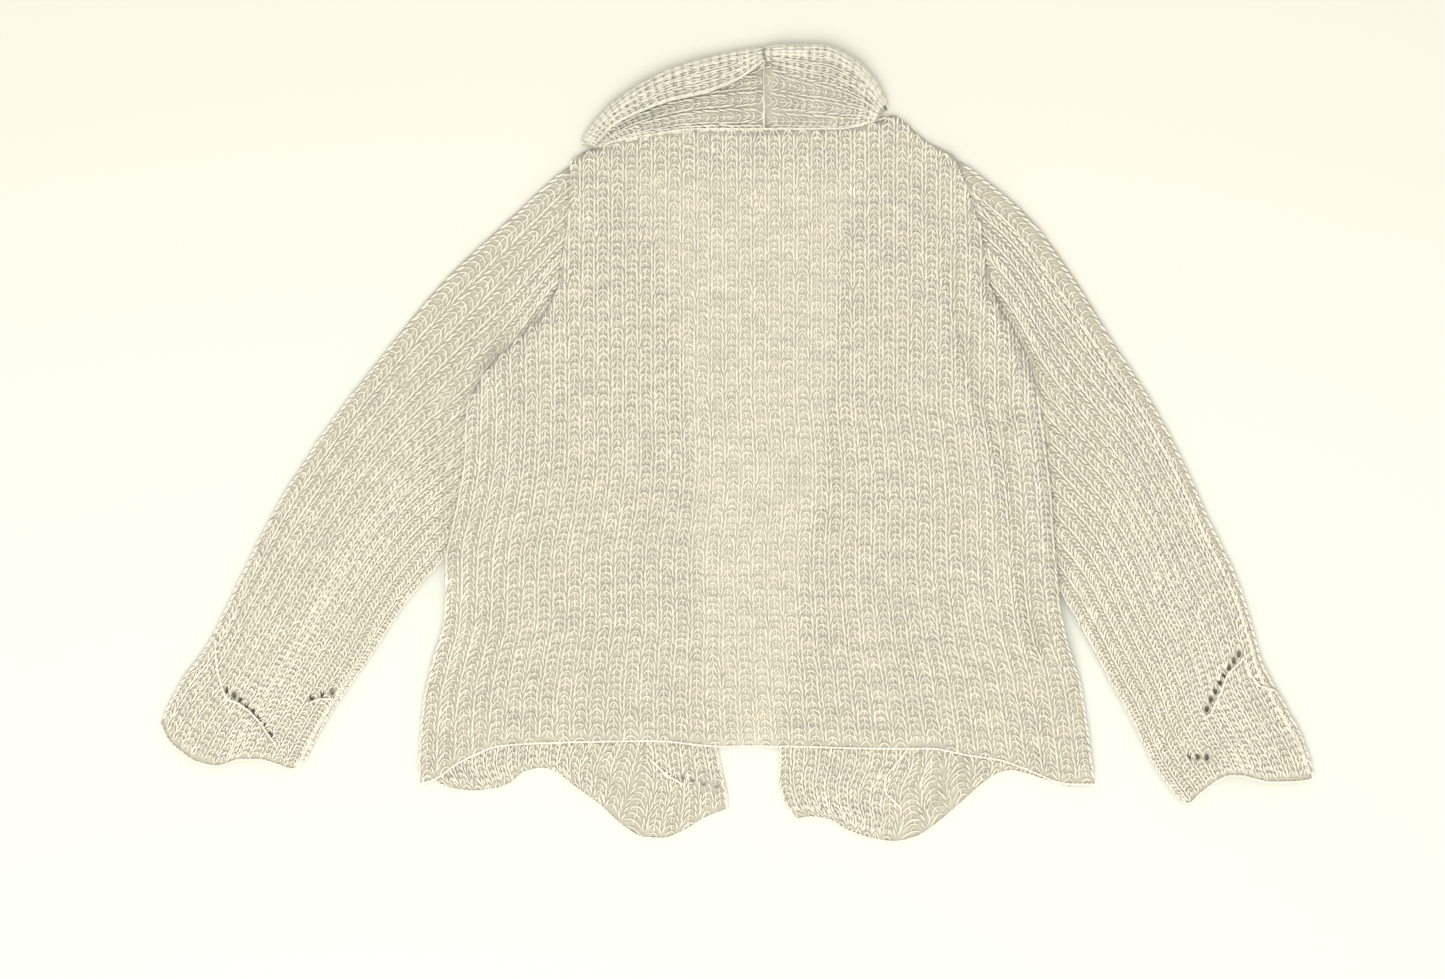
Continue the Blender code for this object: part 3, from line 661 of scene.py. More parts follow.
def add_piece(name, points, faces, material, knit=None):
    """A smooth mesh object from points in millimetres and lists of faces of equal corners.

    knit holds each point's place in the knitting: millimetres across, course and the share of painted light
    there.
    """
    mesh = bpy.data.meshes.new(name)
    points = points.copy()
    points[:, 2] = np.maximum(points[:, 2], 0.0)
    corners = np.concatenate([part.ravel() for part in faces]).astype(np.int32)
    sizes = np.concatenate([np.full(len(part), part.shape[1]) for part in faces])
    starts = np.concatenate(([0], np.cumsum(sizes)[:-1])).astype(np.int32)
    mesh.vertices.add(len(points))
    mesh.vertices.foreach_set("co", (points * MILLIMETRE).astype(np.float32).ravel())
    mesh.loops.add(len(corners))
    mesh.loops.foreach_set("vertex_index", corners)
    mesh.polygons.add(len(starts))
    mesh.polygons.foreach_set("loop_start", starts)
    mesh.update(calc_edges=True)
    mesh.shade_smooth()
    if knit is not None:
        place = mesh.attributes.new("knit", "FLOAT_VECTOR", "POINT")
        place.data.foreach_set("vector", knit.astype(np.float32).ravel())
    mesh.materials.append(material)
    piece = bpy.data.objects.new(name, mesh)
    bpy.context.scene.collection.objects.link(piece)
    return piece


def shell(top, low):
    """Points and faces of a closed sheet between two grids of the same size."""
    rows, columns = top.shape[:2]
    points = np.concatenate((top.reshape(-1, 3), low.reshape(-1, 3)))
    index = np.arange(rows * columns).reshape(rows, columns)
    under = index + rows * columns
    a, b, c, d = index[:-1, :-1], index[:-1, 1:], index[1:, 1:], index[1:, :-1]
    upper = np.stack((a, b, c, d), axis=-1).reshape(-1, 4)
    lower = np.stack((d, c, b, a), axis=-1).reshape(-1, 4) + rows * columns
    rim = []
    for inner, outer, turn in ((index[0], under[0], 1), (index[-1], under[-1], -1),
                               (index[:, 0], under[:, 0], -1), (index[:, -1], under[:, -1], 1)):
        strip = np.stack((inner[1:], inner[:-1], outer[:-1], outer[1:]), axis=-1)
        rim.append(strip[:, ::turn])
    return points, [upper, lower] + rim


def tubes(paths, up, radius, sides):
    """Points and faces of many capped tubes along paths that all have the same number of points."""
    count, steps = paths.shape[:2]
    run = np.gradient(paths, axis=1)
    run /= np.maximum(np.linalg.norm(run, axis=-1, keepdims=True), 1e-12)
    across = np.cross(run, up)
    across /= np.maximum(np.linalg.norm(across, axis=-1, keepdims=True), 1e-12)
    raised = np.cross(across, run)
    turn = (np.arange(sides) / sides + 0.25) * 2 * np.pi
    ring = (np.cos(turn)[:, None] * across[:, :, None] + np.sin(turn)[:, None] * raised[:, :, None])
    points = paths[:, :, None] + ring * np.broadcast_to(radius, (count, steps))[:, :, None, None]
    index = np.arange(count * steps * sides).reshape(count, steps, sides)
    here, there = index[:, :-1], index[:, 1:]
    wall = np.stack((here, there, np.roll(there, -1, axis=2), np.roll(here, -1, axis=2)), axis=-1)
    caps = np.concatenate((index[:, 0], index[:, -1, ::-1]))
    return points.reshape(-1, 3), [wall.reshape(-1, 4), caps]


def rib_share(ribs, parts, steep=()):
    """Shares across a cloth with even steps in each rib, and closer ones at its turned edges.

    steep holds the ranges where its ribs change fast in length, which take closer steps too.
    """
    share = np.arange(ribs * parts + 1) / (ribs * parts)
    edge = np.array((0.03, 0.07, 0.12)) / ribs
    closer = [np.linspace(start, end, count) for start, end, count in steep]
    return np.unique(np.concatenate([share, edge, 1 - edge] + closer))


class Cloth:
    """One piece of knitted cloth: its face, ribs and courses, and where its holes are.

    length is that of the ribs, as a number or a function of the share across, and reach is
    how far from the first course the stitches go. The apex of an arc points along v at 1.
    flip turns the seen side over, across is the range that has stitches, and the last argument gives the
    share of painted light on the yarn at a place, for the light that comes through a lone layer.
    """

    def __init__(self, name, face, ribs, length, width, course, apex=1.0, flip=1.0, holes=(), reach=1e4,
                 across=(0.0, 1.0), painted_light=None):
        self.name = name
        self.face = face
        self.ribs = ribs
        self.length = length if callable(length) else lambda u: np.full(np.shape(u), float(length))
        self.width = width
        self.course = course
        self.longest = float(self.length(np.linspace(0.0, 1.0, 200)).max())
        self.courses = int(min(reach, self.longest) / course)
        self.apex = apex
        self.flip = flip
        self.across = across
        self.holes = hole_middles(holes)
        self.painted_light = painted_light
        self.random = np.random.default_rng(len(name) * 7 + ribs * 31 + self.courses)

    def share(self, u, course):
        """Share along the ribs at a course."""
        return course * self.course / np.maximum(self.length(np.clip(u, 0.0, 1.0)), 1.0)

    def at(self, u, v, height):
        """Points at a height over the seen face, the normals there and the places in the knitting."""
        u = np.clip(u, 0.0, 1.0)
        v = np.clip(v, 0.0, 1.0)
        normal = normals(self.face, u, v) * self.flip
        point = self.face(u, v)
        # Painted light: the share of light through a lone layer, painted into the yarn's colour
        painted_light = self.painted_light(point[..., 0], point[..., 1]) if self.painted_light else np.zeros(np.shape(u))
        knit = np.stack((u * self.width, v * self.length(u) / self.course, painted_light), axis=-1)
        return point + normal * np.asarray(height)[..., None], normal, knit

    def keep(self, u, v, paths):
        """Which paths lie on the cloth and clear of its holes."""
        middle = paths[:, paths.shape[1] // 2, :2]
        kept = (v.max(axis=1) <= 1.0) & (v.min(axis=1) >= 0.0)
        kept &= (u.max(axis=1) >= self.across[0]) & (u.min(axis=1) <= self.across[1])
        for x, y in self.holes:
            aside = (middle[:, 0] - x) / (EYELET_WIDE / 2 + EYELET_CLEAR)
            ahead = (middle[:, 1] - y) / (EYELET_LONG / 2 + EYELET_CLEAR)
            kept &= aside ** 2 + ahead ** 2 > 1.0
        return kept

    def add(self, name, paths, up, radius, knit, sides, material):
        """A joined piece of tubes along paths on the cloth."""
        points, faces = tubes(paths, up, radius, sides)
        places = np.repeat(knit.reshape(-1, 3), sides, axis=0)
        return add_piece(f"{self.name}_{name}", points, faces, material, places)

    def vary(self, count, spread, middle=0.0):
        """One random value for each of some strands."""
        return self.random.normal(middle, spread, (count, 1))

    def strands(self, name, u, v, height, kind, sizes, material):
        """A piece of three-sided strands at shares u and v, where the cloth has stitches."""
        paths, up, knit = self.at(u, v, height)
        radius = sizes.yarn * np.array(kind["thick"])[None] * self.vary(len(u), kind["thick_spread"], 1.0)
        kept = self.keep(u, v, paths)
        return self.add(name, paths[kept], up[kept], radius[kept], knit[kept], 3, material)


def hole_middles(rows):
    """Middles of the eyelets along their curved rows."""
    middles = []
    for start, bend, end, count in rows:
        for t in np.linspace(0.0, 1.0, count):
            middles.append(tuple((1 - t) ** 2 * a + 2 * t * (1 - t) * b + t * t * c
                                 for a, b, c in zip(start, bend, end)))
    return middles


def add_ground(cloth, sizes, material):
    """The thin cloth under the stitches: a closed sheet, a little higher along the ribs."""
    u = rib_share(cloth.ribs, 4, BACK_STEEP if cloth.name == "back" else ())
    v = np.linspace(0.0, 1.0, max(2, int(cloth.longest / GROUND_STEP)))
    u, v = np.meshgrid(u, v)
    off = np.abs(u * cloth.ribs - np.round(u * cloth.ribs))
    rise = np.exp(-(off / GROUND_RIDGE) ** 2)
    top, _, knit = cloth.at(u, v, -sizes.groove + sizes.ground_rise * rise)
    sunk = back_sink(u, v) if cloth.name == "back" else np.zeros(np.shape(u))
    low, _, _ = cloth.at(u, v, -np.maximum(WALL - GROUND_UNDER - sunk, sizes.groove + GROUND_THIN))
    points, faces = shell(top, low)
    places = np.concatenate((knit.reshape(-1, 3), knit.reshape(-1, 3)))
    return add_piece(cloth.name + "_cloth", points, faces, material, places)


def grid(*ranges):
    """All combinations of the values of some ranges, as a flat array for each range."""
    return [part.ravel() for part in np.meshgrid(*ranges, indexing="ij")]


def add_stitches(cloth, sizes, material):
    """Both legs of every stitch of the raised ribs, leaning out from the middle as they rise."""
    rib, course, side = grid(np.arange(cloth.ribs + 1), np.arange(cloth.courses), (-1.0, 1.0))
    inside = ~(((rib == 0) & (side < 0)) | ((rib == cloth.ribs) & (side > 0)))
    rib, course, side = rib[inside], course[inside], side[inside]
    count = len(rib)
    t = np.linspace(0.0, 1.0, 4)[None]
    lean = sizes.leg_low + (sizes.leg_high - sizes.leg_low) * t ** LEG["curve"]
    lean = lean * cloth.vary(count, LEG["lean_spread"], 1.0) + cloth.vary(count, LEG["aside_spread"])
    u = (rib[:, None] + side[:, None] * lean) / cloth.ribs
    climb = LEG["start"] + LEG["climb"] * t + cloth.vary(count, LEG["along_spread"])
    v = cloth.share(u, course[:, None] + np.where(cloth.apex > 0, climb, 1.0 - climb))
    bow = np.sin(np.pi * (LEG["bow_start"] + LEG["bow_share"] * t))
    height = sizes.leg_height * (bow - LEG["bow_level"]) / (1.0 - LEG["bow_level"])
    height = height + cloth.vary(count, LEG["height_spread"])
    return cloth.strands("ribs", u, v, height, LEG, sizes, material)


def add_arcs(cloth, sizes, material):
    """The arc of every stitch of the sunken columns between the ribs."""
    rib, course = grid(np.arange(cloth.ribs), np.arange(cloth.courses))
    count = len(rib)
    a = np.linspace(-1.0, 1.0, 5)[None]
    bow = 1.0 - a * a
    width = sizes.arc_width * cloth.vary(count, ARC["wide_spread"], 1.0)
    u = (rib[:, None] + 0.5 + a * width + cloth.vary(count, ARC["aside_spread"])) / cloth.ribs
    climb = (bow - 0.5) * sizes.arc_bow * cloth.vary(count, ARC["bow_spread"], 1.0)
    v = cloth.share(u, course[:, None] + 0.5 + cloth.apex * climb + cloth.vary(count, ARC["along_spread"]))
    height = -sizes.arc_depth + bow * sizes.arc_rise + cloth.vary(count, ARC["height_spread"])
    return cloth.strands("arcs", u, v, height, ARC, sizes, material)


def add_stems(cloth, sizes, material):
    """The short strand down the middle of every arc, which parts the two holes under it."""
    rib, course = grid(np.arange(cloth.ribs), np.arange(cloth.courses))
    count = len(rib)
    t = np.linspace(0.0, 1.0, 3)[None]
    u = rib[:, None] + 0.5 + cloth.vary(count, STEM["aside_spread"])
    u = (u + (t - 0.5) * cloth.vary(count, STEM["slant_spread"])) / cloth.ribs
    climb = sizes.arc_bow * 0.5 - t * sizes.stem * cloth.vary(count, STEM["long_spread"], 1.0)
    v = cloth.share(u, course[:, None] + 0.5 + cloth.apex * climb)
    height = sizes.arc_rise - sizes.arc_depth - STEM["under"] - STEM["fall"] * t
    height = height + cloth.vary(count, STEM["height_spread"])
    return cloth.strands("stems", u, v, height, STEM, sizes, material)


def line_on(face, points, count=120, smooth=9):
    """Shares of a cloth along a line of places in the plan, found on a fine grid and smoothed."""
    u, v = (part.ravel() for part in np.meshgrid(np.linspace(0.0, 1.0, 240), np.linspace(0.0, 1.0, 400)))
    place = face(u, v)
    x, y = (np.interp(np.linspace(0, len(points) - 1, count), np.arange(len(points)), part)
            for part in zip(*points))
    near = [int(np.argmin(np.hypot(place[:, 0] - px, place[:, 1] - py))) for px, py in zip(x, y)]
    even = np.ones(smooth) / smooth
    return tuple(np.convolve(np.pad(part[near], smooth // 2, mode="edge"), even, mode="valid")
                 for part in (u, v))


def add_edge(cloth, name, line, height, sizes, material):
    """Two strands twisted round each other along a border or a line of the cloth."""
    u, v = line
    middle, normal, knit = cloth.at(u, v, np.full(np.shape(u), height))
    run = np.gradient(middle, axis=0)
    gone = np.concatenate(([0.0], np.cumsum(np.linalg.norm(np.diff(middle, axis=0), axis=1))))
    run /= np.maximum(np.linalg.norm(run, axis=-1, keepdims=True), 1e-12)
    across = np.cross(run, normal)
    paths = []
    for start in (0.0, np.pi):
        turn = (gone / sizes.edge_twist * 2 * np.pi + start)[:, None]
        paths.append(middle + sizes.edge_radius * (np.cos(turn) * across + np.sin(turn) * normal))
    paths = np.stack(paths)
    paths[..., 2] = np.maximum(paths[..., 2], sizes.yarn)
    radius = np.full(paths.shape[:2], sizes.edge_yarn)
    return cloth.add(name, paths, np.stack((normal, normal)), radius, np.stack((knit, knit)), 5, material)


def add_halo(cloth, count, sizes, material):
    """Fine loose fibres over the cloth, closer at its edges, each a thin closed spike."""
    random = cloth.random
    u = random.random(count)
    course = random.random(count) * cloth.courses
    edge = random.random(count) < HALO["edges"]
    u = np.where(edge, np.round(u) + (0.5 - np.round(u)) * random.random(count) * HALO["band"], u)
    root, normal, knit = cloth.at(u, cloth.share(u, course), np.full(count, HALO["root"]))
    way = random.normal(0.0, 1.0, (count, 3)) * HALO["flat"]
    way = way + normal * random.random((count, 1)) * HALO["up"]
    way /= np.linalg.norm(way, axis=-1, keepdims=True)
    tip = root + way * sizes.fibre_length * random.uniform(*HALO["lengths"], (count, 1))
    tip[:, 2] = np.maximum(tip[:, 2], HALO["lowest"])
    radius = np.stack((np.full(count, sizes.fibre), np.full(count, sizes.fibre * HALO["tip"])), axis=1)
    return cloth.add("halo", np.stack((root, tip), axis=1), np.stack((normal, normal), axis=1), radius,
                     np.stack((knit, knit), axis=1), 3, material)


def pierce(piece, cloth):
    """Cuts the eyelets through the ground of a cloth."""
    turn = np.arange(CUTTER_SIDES) / CUTTER_SIDES * 2 * np.pi
    rings = []
    for x, y in cloth.holes:
        for z in CUTTER_ENDS:
            rings.append(np.stack((x + np.cos(turn) * EYELET_WIDE / 2, y + np.sin(turn) * EYELET_LONG / 2,
                                   np.full(CUTTER_SIDES, z)), axis=-1))
    rings = np.stack(rings).reshape(-1, 2, CUTTER_SIDES, 3)
    index = np.arange(rings.size // 3).reshape(-1, 2, CUTTER_SIDES)
    here, there = index[:, 0], index[:, 1]
    wall = np.stack((here, np.roll(here, -1, axis=1), np.roll(there, -1, axis=1), there), axis=-1)
    caps = np.concatenate((here[:, ::-1], there))
    cutter = add_piece(cloth.name + "_cutter", rings.reshape(-1, 3), [wall.reshape(-1, 4), caps],
                       piece.data.materials[0])
    cut = piece.modifiers.new("eyelets", "BOOLEAN")
    cut.operation = "DIFFERENCE"
    cut.solver = "EXACT"
    cut.object = cutter
    graph = bpy.context.evaluated_depsgraph_get()
    mesh = bpy.data.meshes.new_from_object(piece.evaluated_get(graph))
    piece.modifiers.clear()
    piece.data = mesh
    bpy.data.objects.remove(cutter, do_unlink=True)


# Finishes

def painted_light_in_v(x, y):
    """How far the yarn takes its painted light colour, for the light that comes through the back where it
    lies alone: fully there, inside the V.
    """
    return ease((inside_v(x, y) + PAINTED_LIGHT_EDGE) / PAINTED_LIGHT_FADE) * ease((PAINTED_LIGHT_TOP - y) / PAINTED_LIGHT_TOP_FADE)


def add_node(tree, kind, inputs, **settings):
    """A shader node with its settings, and each input joined to a socket or set to a value."""
    node = tree.nodes.new(kind)
    for name, value in settings.items():
        setattr(node, name, value)
    for name, value in inputs.items():
        if isinstance(value, bpy.types.NodeSocket):
            tree.links.new(value, node.inputs[name])
        else:
            node.inputs[name].default_value = value
    return node


def add_noise(tree, vector, scale, detail):
    """A noise over a vector."""
    noise = add_node(tree, "ShaderNodeTexNoise", {"Vector": vector, "Scale": scale, "Detail": detail})
    return noise.outputs["Fac"]


def add_maths(tree, operation, first, second):
    """A sum or a product of two sockets, or of a socket and a number."""
    return add_node(tree, "ShaderNodeMath", {0: first, 1: second}, operation=operation).outputs[0]


def yarn_material(name, colours, light, dark, fuzz, painted_light_strength):
    """Marled fuzzy yarn: patches and flecks between two colours, with fine fibres.

    The strength of painted light is how far its colour turns to a bright one where the back lies alone, for
    the light that comes through that lone layer.
    """
    material = bpy.data.materials.new(name)
    material.use_nodes = True
    tree = material.node_tree
    knit = add_node(tree, "ShaderNodeAttribute", {}, attribute_name="knit").outputs["Vector"]
    place = add_node(tree, "ShaderNodeTexCoord", {}).outputs["Object"]
    stretched = add_node(tree, "ShaderNodeVectorMath",
                         {0: knit, 1: (1.0 / STREAK_LENGTH, STREAK_COURSES, 0.0)}, operation="MULTIPLY")
    streaks = add_noise(tree, stretched.outputs[0], 1.0, 2.0)
    flecks = add_noise(tree, place, FLECK_SCALE, 3.0)
    marl = add_maths(tree, "MULTIPLY", add_maths(tree, "ADD", streaks, flecks), 0.5)
    ramp = add_node(tree, "ShaderNodeValToRGB", {"Fac": marl})
    for stop, position, colour in zip(ramp.color_ramp.elements, MARL, (dark, light)):
        stop.position = position
        stop.color = (*colour, 1.0)
    # Painted light: the colour turns towards a bright one where light comes through the lone layer
    painted_light = add_node(tree, "ShaderNodeSeparateXYZ", {0: knit}).outputs["Z"]
    toned = add_node(tree, "ShaderNodeMix", {}, data_type="RGBA")
    toned.inputs["B"].default_value = (*colours.bright, 1.0)
    tree.links.new(add_maths(tree, "MULTIPLY", painted_light, painted_light_strength), toned.inputs["Factor"])
    tree.links.new(ramp.outputs["Color"], toned.inputs["A"])
    rough = add_node(tree, "ShaderNodeBump", {"Strength": fuzz, "Distance": FUZZ_DEPTH,
                                              "Height": add_noise(tree, place, FIBRE_SCALE, 2.0)})
    shader = tree.nodes["Principled BSDF"]
    shader.inputs["Roughness"].default_value = YARN_ROUGHNESS
    shader.inputs["Sheen Weight"].default_value = colours.sheen
    shader.inputs["Sheen Roughness"].default_value = SHEEN_ROUGHNESS
    shader.inputs["Sheen Tint"].default_value = (*colours.highlight, 1.0)
    tree.links.new(toned.outputs["Result"], shader.inputs["Base Color"])
    tree.links.new(rough.outputs["Normal"], shader.inputs["Normal"])
    return material


def yarn(colours, collar_painted_shade):
    """The materials of stitches, ground and halo, made once. The flag picks the collar's yarn, whose colours
    are darkened as painted shade of its folds.
    """
    made = bpy.data.materials
    if "yarn" not in made:
        for name, (light, dark, fuzz, painted_light_strength) in FINISHES.items():
            yarn_material(name, colours, getattr(colours, light), getattr(colours, dark), fuzz, painted_light_strength)
    return made["dull_yarn" if collar_painted_shade else "yarn"], made["ground"], made["fibres"]


def dress(context, cloth, node, edges=(), halo=0, stitched=True, inner=None,
          collar_painted_shade=False):
    """Ground, stitches, edges and halo of one cloth, in place of its solid.

    inner is the other side of the same cloth, where that shows too, and the last argument picks the collar's
    yarn, darkened as painted shade of its folds.
    """
    sizes = context.scene.cardigan_sizes
    # The ground's material holds painted shade of the holes between the stitches
    stitches, ground, fibres = yarn(context.scene.cardigan_colours, collar_painted_shade)
    base = add_ground(cloth, sizes, ground)
    if cloth.holes:
        pierce(base, cloth)
    on_it = []
    for side in ([cloth] if stitched else []) + ([inner] if inner else []):
        on_it += [add(side, sizes, stitches) for add in (add_stitches, add_arcs, add_stems)]
    if inner:
        on_it.append(add_edge(inner, "seam", top_seam(STAND_SEAM, 90), sizes.edge_height, sizes, stitches))
    for name, line in edges:
        on_it.append(add_edge(cloth, name, line, sizes.edge_height, sizes, stitches))
    for number, points in enumerate(RIDGES.get(cloth.name, ())):
        line = line_on(cloth.face, points)
        on_it.append(add_edge(cloth, f"ridge_{number}", line, RIDGE_HEIGHT, sizes, stitches))
    if halo:
        on_it.append(add_halo(cloth, halo, sizes, fibres))
    for piece in [base] + on_it:
        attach(piece, BODY)
    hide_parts(node)


def border(side, count):
    """Shares u and v along one border of a cloth."""
    t = np.linspace(0.0, 1.0, count)
    zero = np.zeros(count)
    return {"low": (t, zero), "top": (t, zero + 1), "left": (zero, t), "right": (zero + 1, t)}[side]


def top_seam(shares, count):
    """Shares u and v along a part of the top border of a cloth."""
    return np.linspace(*shares, count), np.ones(count)


# Settings

class CardiganSizes(bpy.types.PropertyGroup):
    """Sizes of the yarn and its stitches, in millimetres or as shares of a rib or a course."""
    yarn: FloatProperty(name="Yarn", description="Half the thickness of a strand, in millimetres",
                        default=1.2, min=0.2, max=3.0)
    course: FloatProperty(name="Course", description="Height of one row of stitches, in millimetres",
                          default=6.1, min=2.0, max=20.0)
    groove: FloatProperty(name="Groove", description="Depth of the ground between the ribs, in millimetres",
                          default=1.4, min=0.0, max=3.0)
    ground_rise: FloatProperty(name="Ground rise",
                               description="Rise of the ground along a rib, in millimetres",
                               default=0.75, min=0.0, max=3.0)
    leg_low: FloatProperty(name="Leg foot", description="Offset of a leg's foot, as a share of the rib",
                           default=0.06, min=0.0, max=0.5)
    leg_high: FloatProperty(name="Leg head", description="Offset of a leg's head, as a share of the rib",
                            default=0.18, min=0.0, max=0.5)
    leg_height: FloatProperty(name="Leg height", description="Height of a leg's middle, in millimetres",
                              default=0.45, min=-2.0, max=3.0)
    arc_width: FloatProperty(name="Arc width", description="Half the width of an arc, as a share of the rib",
                             default=0.31, min=0.1, max=0.5)
    arc_bow: FloatProperty(name="Arc bow", description="Height of an arc, as a share of a course",
                           default=0.75, min=0.0, max=2.0)
    arc_depth: FloatProperty(name="Arc depth", description="Depth of an arc's feet, in millimetres",
                             default=1.1, min=0.0, max=3.0)
    arc_rise: FloatProperty(name="Arc rise", description="Rise of an arc's middle, in millimetres",
                            default=0.75, min=0.0, max=3.0)
    stem: FloatProperty(name="Stem", description="Length of the strand under an arc, as a share of a course",
                        default=0.95, min=0.0, max=2.0)
    edge_yarn: FloatProperty(name="Edge yarn", description="Radius of the yarn of an edge, in millimetres",
                             default=0.6, min=0.1, max=3.0)
    edge_radius: FloatProperty(name="Edge radius",
                               description="Radius of the twist of an edge, in millimetres",
                               default=0.55, min=0.1, max=3.0)
    edge_twist: FloatProperty(name="Edge twist", description="Length of a full twist, in millimetres",
                              default=9.0, min=2.0, max=40.0)
    edge_height: FloatProperty(name="Edge height", description="Height of an edge's middle, in millimetres",
                               default=-0.9, min=-3.0, max=3.0)
    fibre: FloatProperty(name="Fibre", description="Half the thickness of a loose fibre, in millimetres",
                         default=0.07, min=0.01, max=0.5)
    fibre_length: FloatProperty(name="Fibre length",
                                description="Mean length of a loose fibre, in millimetres",
                                default=5.0, min=0.5, max=30.0)
    halo: IntProperty(name="Fibres", description="Loose fibres on the back; the others have fewer",
                      default=5200, min=0, max=20000)


class CardiganColours(bpy.types.PropertyGroup):
    """Colours of the yarn and strength of its sheen."""
    light: FloatVectorProperty(name="Cream", description="Light strand of the marled yarn",
                               default=(0.93, 0.883, 0.75), subtype="COLOR", min=0.0, max=1.0)
    grey: FloatVectorProperty(name="Grey", description="Grey strand of the marled yarn",
                              default=(0.78, 0.745, 0.637), subtype="COLOR", min=0.0, max=1.0)
    # Painted shade: the collar's two colours are the yarn's, darkened for the shade of its folds
    collar_painted_shade: FloatVectorProperty(name="Collar", description="Light strand of the yarn of the collar",
                              default=(0.84, 0.81, 0.685), subtype="COLOR", min=0.0, max=1.0)
    collar_painted_shade_grey: FloatVectorProperty(name="Collar grey", description="Grey strand of the yarn of the collar",
                                   default=(0.70, 0.675, 0.575), subtype="COLOR", min=0.0, max=1.0)
    highlight: FloatVectorProperty(name="Halo", description="Loose fibres and sheen",
                                   default=(0.95, 0.93, 0.84), subtype="COLOR", min=0.0, max=1.0)
    # Painted shade: the ground is the same marled yarn, its colours darkened for the shade in the holes
    # between the stitches; its darker patches are the marl
    ground: FloatVectorProperty(name="Ground", description="Cloth between the stitches",
                                default=(0.52, 0.49, 0.39), subtype="COLOR", min=0.0, max=1.0)
    painted_shade_ground_dark: FloatVectorProperty(name="Ground shade", description="Darker patches of the ground",
                                     default=(0.42, 0.40, 0.32), subtype="COLOR", min=0.0, max=1.0)
    # Painted light: the colour that the lone layer in the V turns towards, for the light coming through it
    bright: FloatVectorProperty(name="Bright", description="Colour near which the lone layer in the V comes",
                                default=(0.97, 0.93, 0.78), subtype="COLOR", min=0.0, max=1.0)
    sheen: FloatProperty(name="Sheen", description="Strength of the yarn's soft sheen",
                         default=0.25, min=0.0, max=1.0, subtype="FACTOR")


class CardiganStage(bpy.types.PropertyGroup):
    """Camera, floor and lights."""
    height: FloatProperty(name="Camera height", description="Height of the camera over the surface",
                          default=1.867, unit="LENGTH", min=0.3)
    lens: FloatProperty(name="Lens", description="Focal length in millimetres", default=50.0, min=10.0)
    aside: FloatProperty(name="Camera aside", description="Place of the camera along X",
                         default=-0.013, unit="LENGTH")
    down: FloatProperty(name="Camera down", description="Place of the camera along Y",
                        default=-0.0428, unit="LENGTH")
    floor: FloatVectorProperty(name="Floor", description="Colour of the floor",
                               default=(0.70, 0.70, 0.63), subtype="COLOR", min=0.0, max=1.0)
    # Painted shade: the floor turns darker and warmer past the neck, away from the key light
    floor_far_painted_shade: FloatVectorProperty(name="Floor far away", description="Colour of the floor past the neck",
                                   default=(0.69, 0.663, 0.592), subtype="COLOR", min=0.0, max=1.0)
    key: FloatProperty(name="Key light", description="Power of the key light in watts",
                       default=98.0, min=0.0)
    fill: FloatProperty(name="Fill light", description="Power of the fill light in watts",
                        default=12.0, min=0.0)
    sky: FloatProperty(name="Sky", description="Strength of the light all round", default=0.88, min=0.0)


# Operators, one for each piece or group of like pieces and one for the stage

class CARDIGAN_OT_back(bpy.types.Operator):
    """Knits the back panel"""
    bl_idname = "cardigan.back"
    bl_label = "Back"

    def execute(self, context):
        sizes = context.scene.cardigan_sizes
        # The back's yarn gets painted light in the V, for the light coming through its lone layer
        cloth = Cloth("back", back_face, BACK_RIBS, rib_length(BACK_PLACE), BACK_WIDTH, sizes.course,
                      painted_light=painted_light_in_v)
        edges = (("hem", border("low", 420)), ("left_seam", top_seam(ARMHOLE_SEAM, 60)),
                 ("neck_seam", top_seam(NECK_SEAM, 320)))
        dress(context, cloth, "back",
              edges, sizes.halo)
        return {"FINISHED"}


class CARDIGAN_OT_fronts(bpy.types.Operator):
    """Knits both fronts, whose hems show below the back"""
    bl_idname = "cardigan.fronts"
    bl_label = "Fronts"

    def execute(self, context):
        sizes = context.scene.cardigan_sizes
        for name, table, flat, area in (("front_left", FRONT_LEFT, (0.278, 0.623), 0.097),
                                        ("front_right", FRONT_RIGHT, (0.284, 0.646), 0.107)):
            place = hanging(table["side"], table["edge"], table["hem"], table["top"], table["level"],
                            table["ribs"])
            cloth = Cloth(name, front_face(place, name), FRONT_COLUMNS, rib_length(place), FRONT_WIDTH,
                          sizes.course, holes=EYELETS.get(name, ()), reach=FRONT_KNITTED)
            edges = (("hem", border("low", 220)), ("left_edge", border("left", 240)),
                     ("right_edge", border("right", 240)))
            dress(context, cloth, name, edges, sizes.halo // FRONT_HALO)
        return {"FINISHED"}


